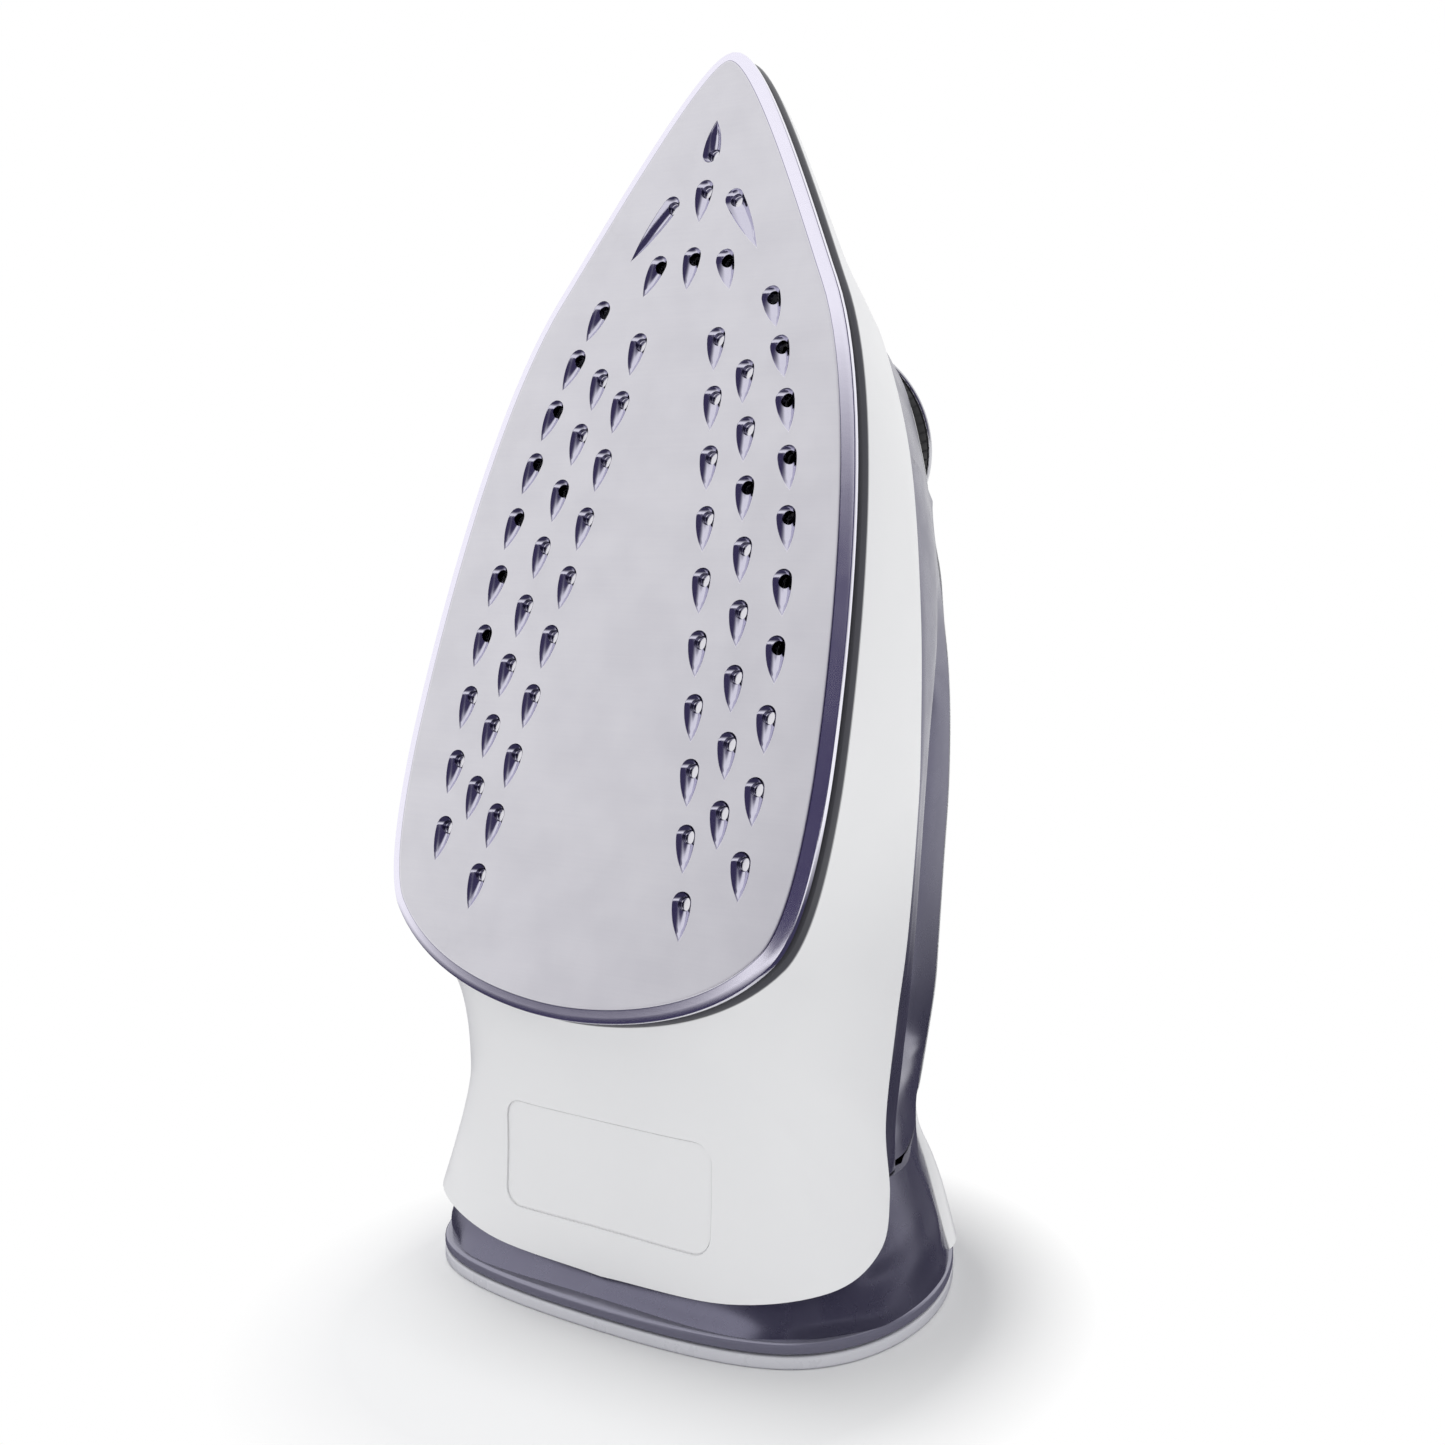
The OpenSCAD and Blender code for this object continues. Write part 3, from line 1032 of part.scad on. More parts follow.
// Slope of the slider's ramp that lifts the rod by rod_lift over the slider's travel.
ramp = (rod_lift / slider_travel - sin(slide_tilt)) / cos(slide_tilt);
ramp_z = fit_z(91.2);
function ramp_at(x) = ramp_z + ramp * (x - rod_x);
module steam_slider() {
  x0 = rod_x - 5.7;
  x1 = rod_x + 3 + slider_travel;
  color([0.3, 0.32, 0.42]) stand() {
    slide_at() {
      block(-6, 6, -6, 6, 0.7, 2.4);
      for (x = [-4:2:4]) block(x - 0.4, x + 0.4, -5, 5, 2.3, 3);
      block(-4, 4, -3, 3, -5, 0.8);
    }
    translate([0, 2.7, 0]) rotate([90, 0, 0]) linear_extrude(height = 5.4) polygon([
      [x0 + 0.2, ramp_at(x0) - 1.2], [x0 + 2, ramp_at(x0 + 2) - 1.2], [x0 + 2, fit_z(114)],
      [x0 + 0.2, fit_z(115)]]);
    difference() {
      translate([0, 4.6, 0]) rotate([90, 0, 0]) linear_extrude(height = 9.2) polygon([
        [x0, ramp_at(x0) - 2], [x1, ramp_at(x1) - 2.5], [x1, ramp_at(x1)], [x0, ramp_at(x0)]]);
      block(rod_x - 3.6, x1 + 1, -rod_r - move_gap, rod_r + move_gap, ramp_z - 20, ramp_z + 20);
    }
  }
}
module valve_rod() {
  head_z = ramp_at(rod_x - 3.5) + 0.3;
  color([0.75, 0.75, 0.78]) stand() translate([rod_x, 0, 0]) {
    rod(rod_r, cover_top + 2.4, head_z + 0.1);
    rod(3.5, head_z, head_z + 2);
  }
}
module valve_guide() {
  color([0.8, 0.8, 0.78]) stand() translate([rod_x, 0, 0])
    tube(guide_r, rod_r + run_gap, tank_deck + 0.2, tank_deck + 5);
}

// Lamp and cord inlet ------------------------------------------------------------------------------

module lamp_lens() {
  color([0.9, 0.35, 0.1]) stand() lamp_at() {
    rod(3, -3.4, 0.5);
    rod(4.4, -4.6, -3.4);
  }
}
module lamp() {
  color([0.9, 0.9, 0.85]) stand() lamp_at() {
    rod(2.4, -11, -4.9);
  }
}
module cord_collar() {
  color([0.3, 0.3, 0.33]) stand() translate([gland_c.x, 0, gland_c.z])
    tube(gland_r + 3, gland_r, -5.6, 2.4);
}
module cord_bush() {
  color([0.12, 0.12, 0.13]) stand() translate([gland_c.x, 0, gland_c.z]) {
    tube(gland_r - run_gap, 3.6, -6.5, 5.5);
    tube(gland_r + 1.6, 3.6, -7.8, -5.9);
  }
}
block_y = 34 - 49.7;
module terminal_block() {
  color([0.85, 0.85, 0.8]) difference() {
    block(-14, 14, block_y - 5, block_y + 5, heel_plate_t + heel_gap, 20);
    for (x = [-8, 0, 8]) translate([x, block_y, 0]) rod(1.6, 10, 21);
  }
}
module cord_clamp() {
  color([0.3, 0.3, 0.33]) difference() {
    block(-10, 10, block_y + 9, block_y + 19, heel_plate_t + heel_gap, 14);
    translate([0, block_y, 14]) rotate([-90, 0, 0]) rod(3.5, 5, 25);
  }
}
module wiring() {
  color([0.8, 0.15, 0.1]) stand() {
    for (side = [-1, 1]) wire([fit([-96.9, 8 * side, 66.4]), fit([-91.7, 8 * side, 64.8]),
      fit([-89.5, 8 * side, 56]), fit([-88, 8.5 * side, 45]), fit([-83.5, 9 * side, 37]),
      fit([-60, 14 * side, 22]), [leg_x - bend_r - 1.5, side * leg_y, cover_top + 5]], 0.9);
    wire([fit([-96.9, 0, 66.4]), fit([-91.7, 0, 64.8]), fit([-88.5, 0, 76]), fit([-86, 0, 100]),
      fit([-66, 0, 128]), fit([-10, 0, 122]), fit([24, 0, 119])], 0.9);
  }
}

soleplate();
casting();
heating_element();
chamber_gasket();
chamber_cover();
cover_screws();
heat_shield();
thermostat();
thermal_fuse();
fuse_clip();
drip_seat();
skirt();
skirt_screws();
water_tank();
tank_seal();
rear_housing();
heel_trim();
heel_plate();
heel_screws();
handle_shell();
top_shell();
handle_screws();
dial_bush();
dial_knob();
dial_ring();
dial_cap();
dial_spindle();
spindle_clip();
fill_door();
door_pin();
fill_seal();
spray_nozzle();
nozzle_tip();
spray_button();
burst_button();
spray_pump();
burst_pump();
spray_piston();
burst_piston();
pump_springs();
spray_tube();
burst_tube();
steam_slider();
valve_rod();
valve_guide();
lamp_lens();
lamp();
cord_collar();
cord_bush();
cord_clamp();
terminal_block();
wiring();
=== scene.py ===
"""Looks of a steam iron that stands on its heel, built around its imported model.

The drawing tables are in millimetres on the lying iron: X runs to the tip, Y across, Z up from the
soleplate's face. stand() turns a point onto the standing iron, in metres.
"""

import logging
import math
from dataclasses import dataclass
from enum import Enum
from typing import Optional, Sequence

import bmesh
import bpy
import numpy as np
from mathutils import Matrix, Vector
from mathutils.geometry import delaunay_2d_cdt


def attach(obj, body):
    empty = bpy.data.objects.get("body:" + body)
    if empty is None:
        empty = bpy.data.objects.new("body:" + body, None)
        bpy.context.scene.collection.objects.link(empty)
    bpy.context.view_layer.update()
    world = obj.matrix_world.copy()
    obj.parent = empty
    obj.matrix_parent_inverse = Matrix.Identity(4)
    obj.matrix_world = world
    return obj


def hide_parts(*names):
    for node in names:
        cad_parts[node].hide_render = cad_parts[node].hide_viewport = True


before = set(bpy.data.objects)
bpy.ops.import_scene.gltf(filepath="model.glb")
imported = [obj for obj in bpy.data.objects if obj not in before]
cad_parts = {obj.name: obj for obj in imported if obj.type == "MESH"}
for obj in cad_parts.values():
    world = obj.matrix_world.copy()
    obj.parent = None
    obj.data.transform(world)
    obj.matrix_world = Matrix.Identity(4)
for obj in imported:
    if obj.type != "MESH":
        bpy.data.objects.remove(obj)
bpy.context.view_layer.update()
log = logging.getLogger("iron")
Half = Sequence[Sequence[float]]
MIRROR = np.array([1.0, -1.0, 1.0])

# Drawing tables ------------------------------------------------------------------------------------

SOLE_CURVES = [
  [[1, 0], [1, 0.13], [0.731, 0.535], [0.659, 0.654]],
  [[0.659, 0.654], [0.473, 0.961], [0.057, 1], [0, 1]],
  [[0, 1], [-0.36, 1], [-0.574, 0.965], [-0.667, 0.895]],
  [[-0.667, 0.895], [-0.972, 0.649], [-1, 0.149], [-1, 0]]]
SKIRT_U = [0, 0.25, 0.5, 0.75, 1, 1.25, 1.5, 1.75, 2, 2.5, 3, 3.25, 3.4, 3.5, 3.6, 3.75, 4]
SKIRT_MIDDLE = [[171, 0, 19], [163, 9.5, 20], [146.5, 20, 20], [128.5, 31.6, 17], [114.5, 40.2, 16],
  [85, 51.3, 18.5], [49.5, 57.3, 21], [18, 60.1, 24], [0, 60.6, 26], [-24.5, 59.3, 28.5], [-40, 56, 31],
  [-56, 50.5, 31], [-64.5, 48.3, 29.8], [-69.5, 45, 28], [-73, 38, 25.5], [-75, 22, 24], [-75.5, 0, 23.8]]
SKIRT_TOP = [[157, 0, 27.5], [151, 7.5, 28], [138, 18.5, 27], [123, 30.5, 25.5], [112, 40, 25],
  [84.5, 50, 29.8], [49, 56, 35.8], [17.5, 58.7, 41.3], [-1, 59.2, 44.7], [-26, 57.5, 51.8],
  [-45, 55.3, 57],
  [-68, 54.5, 61], [-84, 58, 61.8], [-96, 60.3, 56.5], [-105, 57.5, 41.5], [-112.5, 35, 35.8],
  [-114.5, 0, 36]]
TANK_FRONT = [
  [154, 0, [[0, 22], [2.6, 22], [3.8, 23.2], [4.2, 25.6], [3.9, 27.2], [3.2, 28.4], [2.2, 29.1],
    [1.1, 29.5], [0, 29.6]]],
  [148, 0, [[0, 21], [7, 21], [9.2, 22.3], [9.6, 25.8], [9, 29], [7.6, 31.6], [5.6, 33.6],
    [2.9, 34.6], [0, 34.9]]],
  [140, 0, [[0, 20.5], [12, 20.5], [15, 22], [15.5, 25.4], [14.6, 30.5], [12.8, 35.5], [9.6, 39.2],
    [4.9, 41], [0, 41.5]]],
  [130, 0, [[0, 20.5], [19, 20.5], [23.2, 22], [24.2, 24.8], [22.8, 33], [20.4, 41.5],
    [16.5, 47.3], [8.6, 50], [0, 50.8]]],
  [122, 0, [[0, 20.5], [25, 20.5], [29.3, 22], [30, 24.2], [28, 36], [25, 47], [21, 53],
    [10.5, 54.6], [0, 55]]],
  [116, 0, [[0, 20.5], [29, 20.5], [34, 22], [35.2, 24], [32.2, 38], [29.2, 50], [26.5, 60],
    [13, 60], [0, 60]]],
  [104, 0, [[0, 20.5], [35, 20.5], [40.5, 22], [42, 25.5], [38, 42], [33.7, 56], [29.6, 67.5],
    [15, 67.5], [0, 67.5]]],
  [92, 0, [[0, 20.5], [40, 20.5], [45, 23], [46.5, 28], [42.6, 44], [36.8, 61], [30.8, 75],
    [15, 75], [0, 75]]],
  [86, 0, [[0, 20.5], [42, 20.5], [47, 23], [48.3, 29.5], [44.5, 45], [38.2, 62], [31, 78.7],
    [15, 78.7], [0, 78.7]]]]
TANK_REAR = [
  [85.9, 0, [[0, 20.5], [42, 20.5], [47, 23], [48.3, 29.5], [44.8, 45], [40.6, 57], [36.4, 69],
    [18, 69], [0, 69]]],
  [70, 0, [[0, 20.5], [45, 20.5], [49.6, 23], [50.9, 32], [48.6, 46], [44.5, 59.5], [38.7, 69],
    [19, 69], [0, 69]]],
  [46, 0, [[0, 20.5], [48, 20.5], [52.2, 23], [54.6, 36.7], [53.5, 46], [50, 57.5], [43, 65.5],
    [22, 68.2], [0, 68.8]]],
  [20, 0, [[0, 20.5], [50, 20.5], [54.2, 23], [57, 41], [56, 48.5], [52.5, 56.5], [45, 62.5],
    [23, 66], [0, 67]]],
  [-5, 0, [[0, 20.5], [50, 20.5], [54.7, 23.5], [57.6, 45.8], [56.7, 51.5], [53.8, 58.5], [46, 64],
    [23, 67], [0, 68]]],
  [-26, 0, [[0, 20.5], [46, 20.5], [52.5, 25], [55.9, 51.8], [55.3, 58], [52.4, 65], [45, 69.5],
    [23, 71.5], [0, 72]]],
  [-44, 0.03, [[0, 21], [32, 21], [45, 30], [53.7, 57], [53.3, 63], [51.2, 69.6], [44.5, 73.6],
    [22, 74.8], [0, 75]]],
  [-62, 0.1, [[0, 27], [28, 27], [42.5, 34], [52.8, 58.5], [52.8, 64], [51, 71.5], [46, 76],
    [22, 76.5], [0, 76.5]]],
  [-78, 0.15, [[0, 35], [27, 35], [41, 40], [52.6, 59.5], [52.5, 65.5], [51.3, 72], [47.5, 76.3],
    [23, 76.6], [0, 76.6]]],
  [-93, 0.2, [[0, 44], [28, 44], [43, 47.5], [54.6, 61], [54.6, 66], [53, 72], [50.3, 76.6],
    [25, 76.7], [0, 76.7]]]]
HANDLE = [
  [85.6, 0, [[0, 67.8], [12, 67.8], [24, 67.8], [36.2, 67.8], [35, 71.7], [33.6, 74.2],
    [32.4, 76.4], [31, 78.6], [0, 78.6]]],
  [78, 0, [[0, 67.8], [12, 67.8], [25, 67.8], [37.5, 67.8], [35.8, 73.5], [34, 78], [32, 82.5],
    [29.8, 87], [0, 87]]],
  [70, 0, [[0, 67.8], [13, 67.8], [26, 67.8], [38.5, 67.8], [36, 76], [33.2, 83], [30.3, 90.5],
    [27.8, 97.5], [0, 97.5]]],
  [60, 0, [[0, 67.8], [12, 67.8], [24, 67.8], [36, 67.8], [33.5, 78], [30.5, 87], [28.2, 96.5],
    [26.6, 105.5], [0, 105.5]]],
  [52, 0, [[0, 68], [10, 68], [20, 68.3], [30, 70], [30, 80], [28.5, 91], [27, 102], [25.8, 112],
    [0, 112]]],
  [48, 0, [[0, 80], [9, 80.5], [17, 82.5], [24, 87], [26, 94], [26.3, 101], [25.8, 108],
    [25.3, 114.8], [0, 114.8]]],
  [43, 0, [[0, 91], [8.5, 91.3], [16, 93], [21.5, 96.5], [24.3, 101.5], [25.4, 107], [25.3, 112.5],
    [24.9, 117.8], [0, 117.8]]],
  [34.5, 0, [[0, 97], [8, 97.3], [15, 98.6], [20, 101.5], [23, 106], [24.3, 111.5], [24.4, 117],
    [24, 122.5], [0, 122.5]]],
  [20, 0, [[0, 101.5], [8, 101.8], [14.5, 103], [19.3, 106], [22.2, 110.5], [23.5, 116],
    [23.6, 122], [23.3, 128], [0, 128]]],
  [2, 0, [[0, 105.5], [7.8, 105.8], [14, 107], [18.8, 110], [21.6, 114.5], [22.8, 120],
    [22.9, 126.5], [22.5, 133], [0, 133]]],
  [-20, 0, [[0, 109], [7.8, 109.3], [14, 110.5], [18.7, 113.5], [21.5, 118], [22.6, 124],
    [22.5, 131], [22, 138.3], [0, 138.3]]],
  [-40, 0.05, [[0, 108], [8, 108.3], [14.3, 109.6], [19, 112.7], [21.8, 117.5], [22.9, 124],
    [22.6, 132], [22, 140.5], [0, 140.5]]],
  [-58, 0.1, [[0, 103], [8.5, 103.3], [15, 105], [20, 108.5], [22.8, 114], [23.6, 121],
    [23, 130.5], [21.9, 140.8], [0, 140.8]]],
  [-65, 0.12, [[0, 92], [9, 92.5], [17, 95], [23.5, 100], [26.5, 107], [26.5, 116], [24.5, 128],
    [21.8, 140.9], [0, 140.9]]],
  [-70, 0.135, [[0, 76.2], [10, 76.6], [20, 79], [30, 84], [33.5, 92], [32, 103], [28, 121],
    [21.7, 141], [0, 141]]],
  [-76, 0.15, [[0, 75.8], [14, 75.8], [28, 75.8], [42, 75.8], [42, 84], [38.5, 97], [31, 118],
    [21.6, 141], [0, 141]]],
  [-85, 0.175, [[0, 75.8], [15, 75.8], [31, 75.8], [47, 75.8], [45.2, 86], [40.5, 99], [32, 119],
    [21.6, 140.8], [0, 140.8]]],
  [-93, 0.2, [[0, 75.8], [16, 75.8], [33, 75.8], [49.8, 75.8], [47.5, 86.5], [42.5, 99],
    [33, 119.5], [21.5, 140], [0, 140]]]]
HOUSING = [
  [-93.4, 0.2, [[0, 34], [28, 34], [42.8, 38.5], [51, 48.5], [55.1, 61], [52.6, 78], [43.5, 98],
    [33, 119.5], [21.5, 140], [0, 140]]],
  [-103, 0.235, [[0, 35.3], [29, 35.3], [44.8, 40], [53.4, 49], [57.4, 60.5], [56, 77], [47.5, 97],
    [37, 115.5], [27.5, 131], [0, 131]]],
  [-112, 0.265, [[0, 36.8], [31, 36.8], [47.5, 41.5], [56, 49], [59.6, 58.5], [59.3, 76], [52, 96],
    [44.5, 109], [37, 121], [0, 121]]],
  [-119, 0.285, [[0, 37.4], [33, 37.4], [49, 41.4], [56.6, 47.8], [60.4, 57], [61.8, 74], [57, 92],
    [51, 103], [45, 112.5], [0, 112.5]]],
  [-125.5, 0.302, [[0, 37.4], [35, 37.4], [50.5, 41.4], [58, 47.7], [62.3, 57], [63.4, 72.5],
    [61, 87], [57, 97], [52, 105.5], [0, 105.5]]]]
HOUSING_FOOT = [[0, 34.6], [35, 35], [50.8, 42], [58.5, 49.8], [63.4, 59], [64.4, 73],
  [62.4, 86.5], [59.4, 95], [56, 102], [0, 102]]
TOP = [
  [124.2, 0, 4, 54.9, 57.4, 1, 0.6], [123, 0, 12, 55.6, 58.1, 1, 0.8],
  [120.5, 0, 20, 57.2, 59.7, 1.2, 0.9], [116, 0, 26, 60, 62.5, 1.4, 0.92],
  [110, 0, 28.3, 63.8, 66.3, 1.5, 0.94], [102, 0, 29.8, 68.8, 71.3, 1.5, 0.94],
  [94, 0, 30.7, 73.8, 76.3, 1.5, 0.94], [87, 0, 31, 78.1, 80.6, 1.6, 0.94],
  [80, 0, 30.2, 85, 88.6, 2, 0.85], [73.5, 0, 28.6, 93.9, 98.6, 2.6, 0.75],
  [64, 0, 27, 102.4, 107.6, 3, 0.65], [54.5, 0, 26, 110.3, 115.9, 3.2, 0.6],
  [45, 0, 25, 116.9, 122.6, 3.2, 0.58], [34.5, 0, 24, 122.8, 128.6, 3.2, 0.55],
  [20, 0, 23.3, 128.3, 134.2, 3.2, 0.55], [2, 0, 22.5, 133.3, 139.5, 3.2, 0.55],
  [-20, 0, 22, 138.6, 144.4, 3.2, 0.55], [-40, 0.05, 22, 140.8, 146.5, 3.2, 0.55],
  [-65, 0.12, 21.8, 141.2, 147, 3.2, 0.55], [-85, 0.175, 21.6, 141.1, 147, 3.2, 0.55],
  [-93, 0.2, 21.5, 140.3, 146.8, 3.2, 0.55], [-103, 0.235, 27.5, 131.3, 146, 8, 0.55],
  [-112, 0.265, 37, 121.3, 144.8, 12, 0.55], [-119, 0.285, 45, 112.8, 143, 14, 0.55],
  [-125.5, 0.302, 52, 105.8, 140.7, 14, 0.55]]
TOP_FOOT = [56, 102.3, 138.6, 13, 0.55]
HEEL_CURVES = [
  [[0, 33], [30, 33], [44, 36.5], [52, 42.2]],
  [[52, 42.2], [61, 48.9], [65, 60.3], [65, 72.7]],
  [[65, 72.7], [65, 92.7], [55, 111.8], [42, 125.1]],
  [[42, 125.1], [33, 134.7], [15, 140.4], [0, 140.4]]]
HANDLE_SHIFT = [-3, 0, 0, 0.5, 2.2, 2.5, 2.2, 1.2, 0.4, 0, 0, -0.4, -1.2, -2.4, -2.6, -1.4, 0, -1]

# The stance, in millimetres: how far the lying iron's origin is from the standing one's, forwards and up,
# how far the floor is behind it, how far the heel's outline is moved, and the heel's height and half width.
LEAN = math.radians(17.6)
FACE_BACK = 49.713
FACE_UP = 130.015
HEEL_REACH = 136.4
HEEL_BACK = 90.957
HEEL_TOP = 6.2
HEEL_HALF = 65
STAND = Matrix(((0, 1, 0, 0), (math.sin(LEAN), 0, math.cos(LEAN), -FACE_BACK / 1000),
                (math.cos(LEAN), 0, -math.sin(LEAN), FACE_UP / 1000), (0, 0, 0, 1)))

# The soleplate's reach to the tip, its reach to the rear and its half width, in millimetres.
SOLE_FRONT, SOLE_REAR, SOLE_HALF = 174.5, 54.0, 57.0


class Body(str, Enum):
    """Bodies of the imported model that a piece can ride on."""

    IRON = "body"
    DIAL = "dial"
    DOOR = "door"
    SLIDER = "slider"
    VALVE = "valve"
    SPRAY = "spray_plunger"
    BURST = "burst_plunger"
    GLAND = "gland"


class Cut(str, Enum):
    """Ways in which a tool changes a piece."""

    AWAY = "DIFFERENCE"
    WITHIN = "INTERSECT"
    JOINED = "UNION"


# Points and curves ---------------------------------------------------------------------------------


def stand(points: np.ndarray) -> np.ndarray:
    """Turns points of the lying iron onto the standing one.

    Args:
        points: Places in millimetres, in an array whose last axis is X, Y, Z.

    Returns:
        The same places in metres on the standing iron.
    """
    x, y, z = points[..., 0], points[..., 1], points[..., 2]
    s, c = math.sin(LEAN), math.cos(LEAN)
    return np.stack([y, s * x + c * z - FACE_BACK, c * x - s * z + FACE_UP], -1) / 1000


def smooth(items: Sequence, steps: int) -> np.ndarray:
    """Draws one smooth curve through rows of numbers.

    Args:
        items: Rows that the curve passes through.
        steps: Parts between each two rows.

    Returns:
        The rows of the finer curve.
    """
    p = np.asarray(items, float)
    ends = np.concatenate([[2 * p[0] - p[1]], p, [2 * p[-1] - p[-2]]])
    fine = []
    for i in range(len(p) - 1):
        a, b, c, d = ends[i:i + 4]
        for t in np.arange(steps) / steps:
            fine.append(0.5 * (2 * b + (c - a) * t + (2 * a - 5 * b + 4 * c - d) * t ** 2
                               + (3 * b - a - 3 * c + d) * t ** 3))
    return np.array(fine + [p[-1]])


def soften(items: Sequence, first: int, last: int, steps: int) -> np.ndarray:
    """Smooths the rows from first to last and keeps the others.

    Args:
        items: Rows of equal length.
        first: Place of the first smoothed row.
        last: Place of the last smoothed row.
        steps: Parts between each two smoothed rows.

    Returns:
        All the rows.
    """
    p = np.asarray(items, float)
    return np.concatenate([p[:first], smooth(p[first:last + 1], steps), p[last + 1:]])


def level(outline: np.ndarray, height: float) -> np.ndarray:
    """Lays an outline of [x, y] on a level plane."""
    return np.column_stack([outline, np.full(len(outline), height)])


def bezier(p: Sequence, t: float) -> np.ndarray:
    """The place at share t of a cubic curve with the four control points p."""
    a, b, c, d = np.asarray(p, float)
    return (1 - t) ** 3 * a + 3 * (1 - t) ** 2 * t * b + 3 * (1 - t) * t * t * c + t ** 3 * d


def mirrored(left: np.ndarray) -> np.ndarray:
    """Closes a half ring that starts and ends on the middle plane with its mirror image."""
    return np.concatenate([left, left[-2:0:-1] * MIRROR])


def ring(s: float, k: float, half: np.ndarray) -> np.ndarray:
    """A closed ring of the lying iron in the plane x = s + k z, from a half section of [y, z]."""
    h = np.asarray(half, float)
    return mirrored(np.stack([s + k * h[:, 1], -h[:, 0], h[:, 1]], -1))


def level_ring(height: float, half: np.ndarray) -> np.ndarray:
    """A closed ring on the level plane at a height above the floor, from a half section."""
    return ring(height / math.cos(LEAN) - HEEL_REACH, math.tan(LEAN), half)


def inset(half: Half, wall: float) -> np.ndarray:
    """A half section drawn in by a wall all round."""
    h = np.asarray(half, float)
    low, high = h[:, 1].min(), h[:, 1].max()
    middle = (low + high) / 2
    return np.stack([h[:, 0] * (1 - wall / h[:, 0].max()),
                     middle + (h[:, 1] - middle) * (1 - 2 * wall / (high - low))], -1)


def channel(half: Half, wall: float) -> np.ndarray:
    """A half section of the room inside a shell that is open at its top."""
    h = np.asarray(half, float)
    low, high, share = h[0, 1], h[-1, 1], 1 - wall / h[:, 0].max()
    sides = [[y * share, low + wall + (high - low - wall) * (z - low) / (high - low)] for y, z in h[:-1]]
    return np.array(sides + [[h[-2, 0] * share, high + 7], [0, high + 7]])


# Meshes --------------------------------------------------------------------------------------------


def linked(name: str, data: bpy.types.ID) -> bpy.types.Object:
    """Puts new object data into the scene as an object at the origin."""
    obj = bpy.data.objects.new(name, data)
    bpy.context.scene.collection.objects.link(obj)
    return obj


def shade(obj: bpy.types.Object, sharp: float) -> bpy.types.Object:
    """Shades a mesh smooth and keeps the edges crisp that are sharper than an angle in degrees."""
    obj.data.shade_smooth()
    obj.data.set_sharp_from_angle(angle=math.radians(sharp))
    return obj


def tidy(obj: bpy.types.Object, sharp: float = 30.0, merge: float = 0.0) -> bpy.types.Object:
    """Turns a mesh's faces outwards, shades it smooth and keeps its corners crisp.

    Args:
        obj: Closed mesh piece.
        sharp: Least angle, in degrees, of an edge that stays crisp.
        merge: Distance in metres under which corners are merged, or 0.

    Returns:
        The same object.
    """
    bm = bmesh.new()
    bm.from_mesh(obj.data)
    if merge:
        bmesh.ops.remove_doubles(bm, verts=bm.verts, dist=merge)
    bmesh.ops.recalc_face_normals(bm, faces=bm.faces)
    bm.to_mesh(obj.data)
    bm.free()
    return shade(obj, sharp)


def new_piece(name: str, points: np.ndarray, faces: Sequence[Sequence[int]], sharp: float = 30.0,
              merge: float = 0.0) -> bpy.types.Object:
    """Makes a mesh object from points in metres and faces.

    Args:
        name: Name of the piece.
        points: Places in metres on the standing iron.
        faces: Corners of each face, as places in points.
        sharp: Least angle, in degrees, of an edge that stays crisp.
        merge: Distance in metres under which corners are merged, or 0.

    Returns:
        The new object, at the origin.
    """
    mesh = bpy.data.meshes.new(name)
    mesh.from_pydata(np.asarray(points, float).tolist(), [], [list(f) for f in faces])
    return tidy(linked(name, mesh), sharp, merge)


def zoned(name: str, points: np.ndarray, faces: list, zones: Sequence[float]) -> bpy.types.Object:
    """Makes a sheet from points in metres and faces, with each point's zone as an attribute."""
    mesh = bpy.data.meshes.new(name)
    mesh.from_pydata(points.tolist(), [], faces)
    mesh.attributes.new("zone", "FLOAT", "POINT").data.foreach_set("value", zones)
    return linked(name, mesh)


def band_faces(rows: int, columns: int, loop: bool) -> list[list[int]]:
    """Faces of a skin over rings: a band between each two rings, and a cap at each end unless loop."""
    faces = []
    for i in range(rows if loop else rows - 1):
        a, b = i * columns, ((i + 1) % rows) * columns
        faces += [[a + j, b + j, b + (j + 1) % columns, a + (j + 1) % columns] for j in range(columns)]
    if not loop:
        faces += [list(range(columns)), [(rows - 1) * columns + j for j in range(columns)]]
    return faces


def loft(name: str, rings: Sequence[np.ndarray], loop: bool = False, sharp: float = 30.0,
         standing: bool = False) -> bpy.types.Object:
    """Makes a closed piece from a skin over rings of equal length.

    Args:
        name: Name of the piece.
        rings: Rings in millimetres, on the lying iron unless standing.
        loop: Whether the last ring joins the first.
        sharp: Least angle, in degrees, of an edge that stays crisp.
        standing: Whether the rings are already on the standing iron.

    Returns:
        The new object.
    """
    grid = np.array(rings)
    points = grid.reshape(-1, 3)
    points = points / 1000 if standing else stand(points)
    return new_piece(name, points, band_faces(grid.shape[0], grid.shape[1], loop), sharp, 1e-7)


def turned(name: str, profile: Half, place: Matrix, steps: int = 96,
           closed: bool = False) -> bpy.types.Object:
    """Turns a profile round an axis.

    Args:
        name: Name of the piece.
        profile: Places [radius, height] in millimetres; a closed profile makes a ring, an open one is
            capped at both ends.
        place: The axis's place in metres.
        steps: Sides of the turned piece.
        closed: Whether the profile is closed.

    Returns:
        The new object, with its place in its mesh.
    """
    rings = [[[r * math.cos(a), r * math.sin(a), z] for a in np.arange(steps) * 2 * math.pi / steps]
             for r, z in profile]
    grid = np.array(rings)
    obj = new_piece(name, grid.reshape(-1, 3) / 1000, band_faces(len(profile), steps, closed))
    obj.data.transform(place)
    return obj


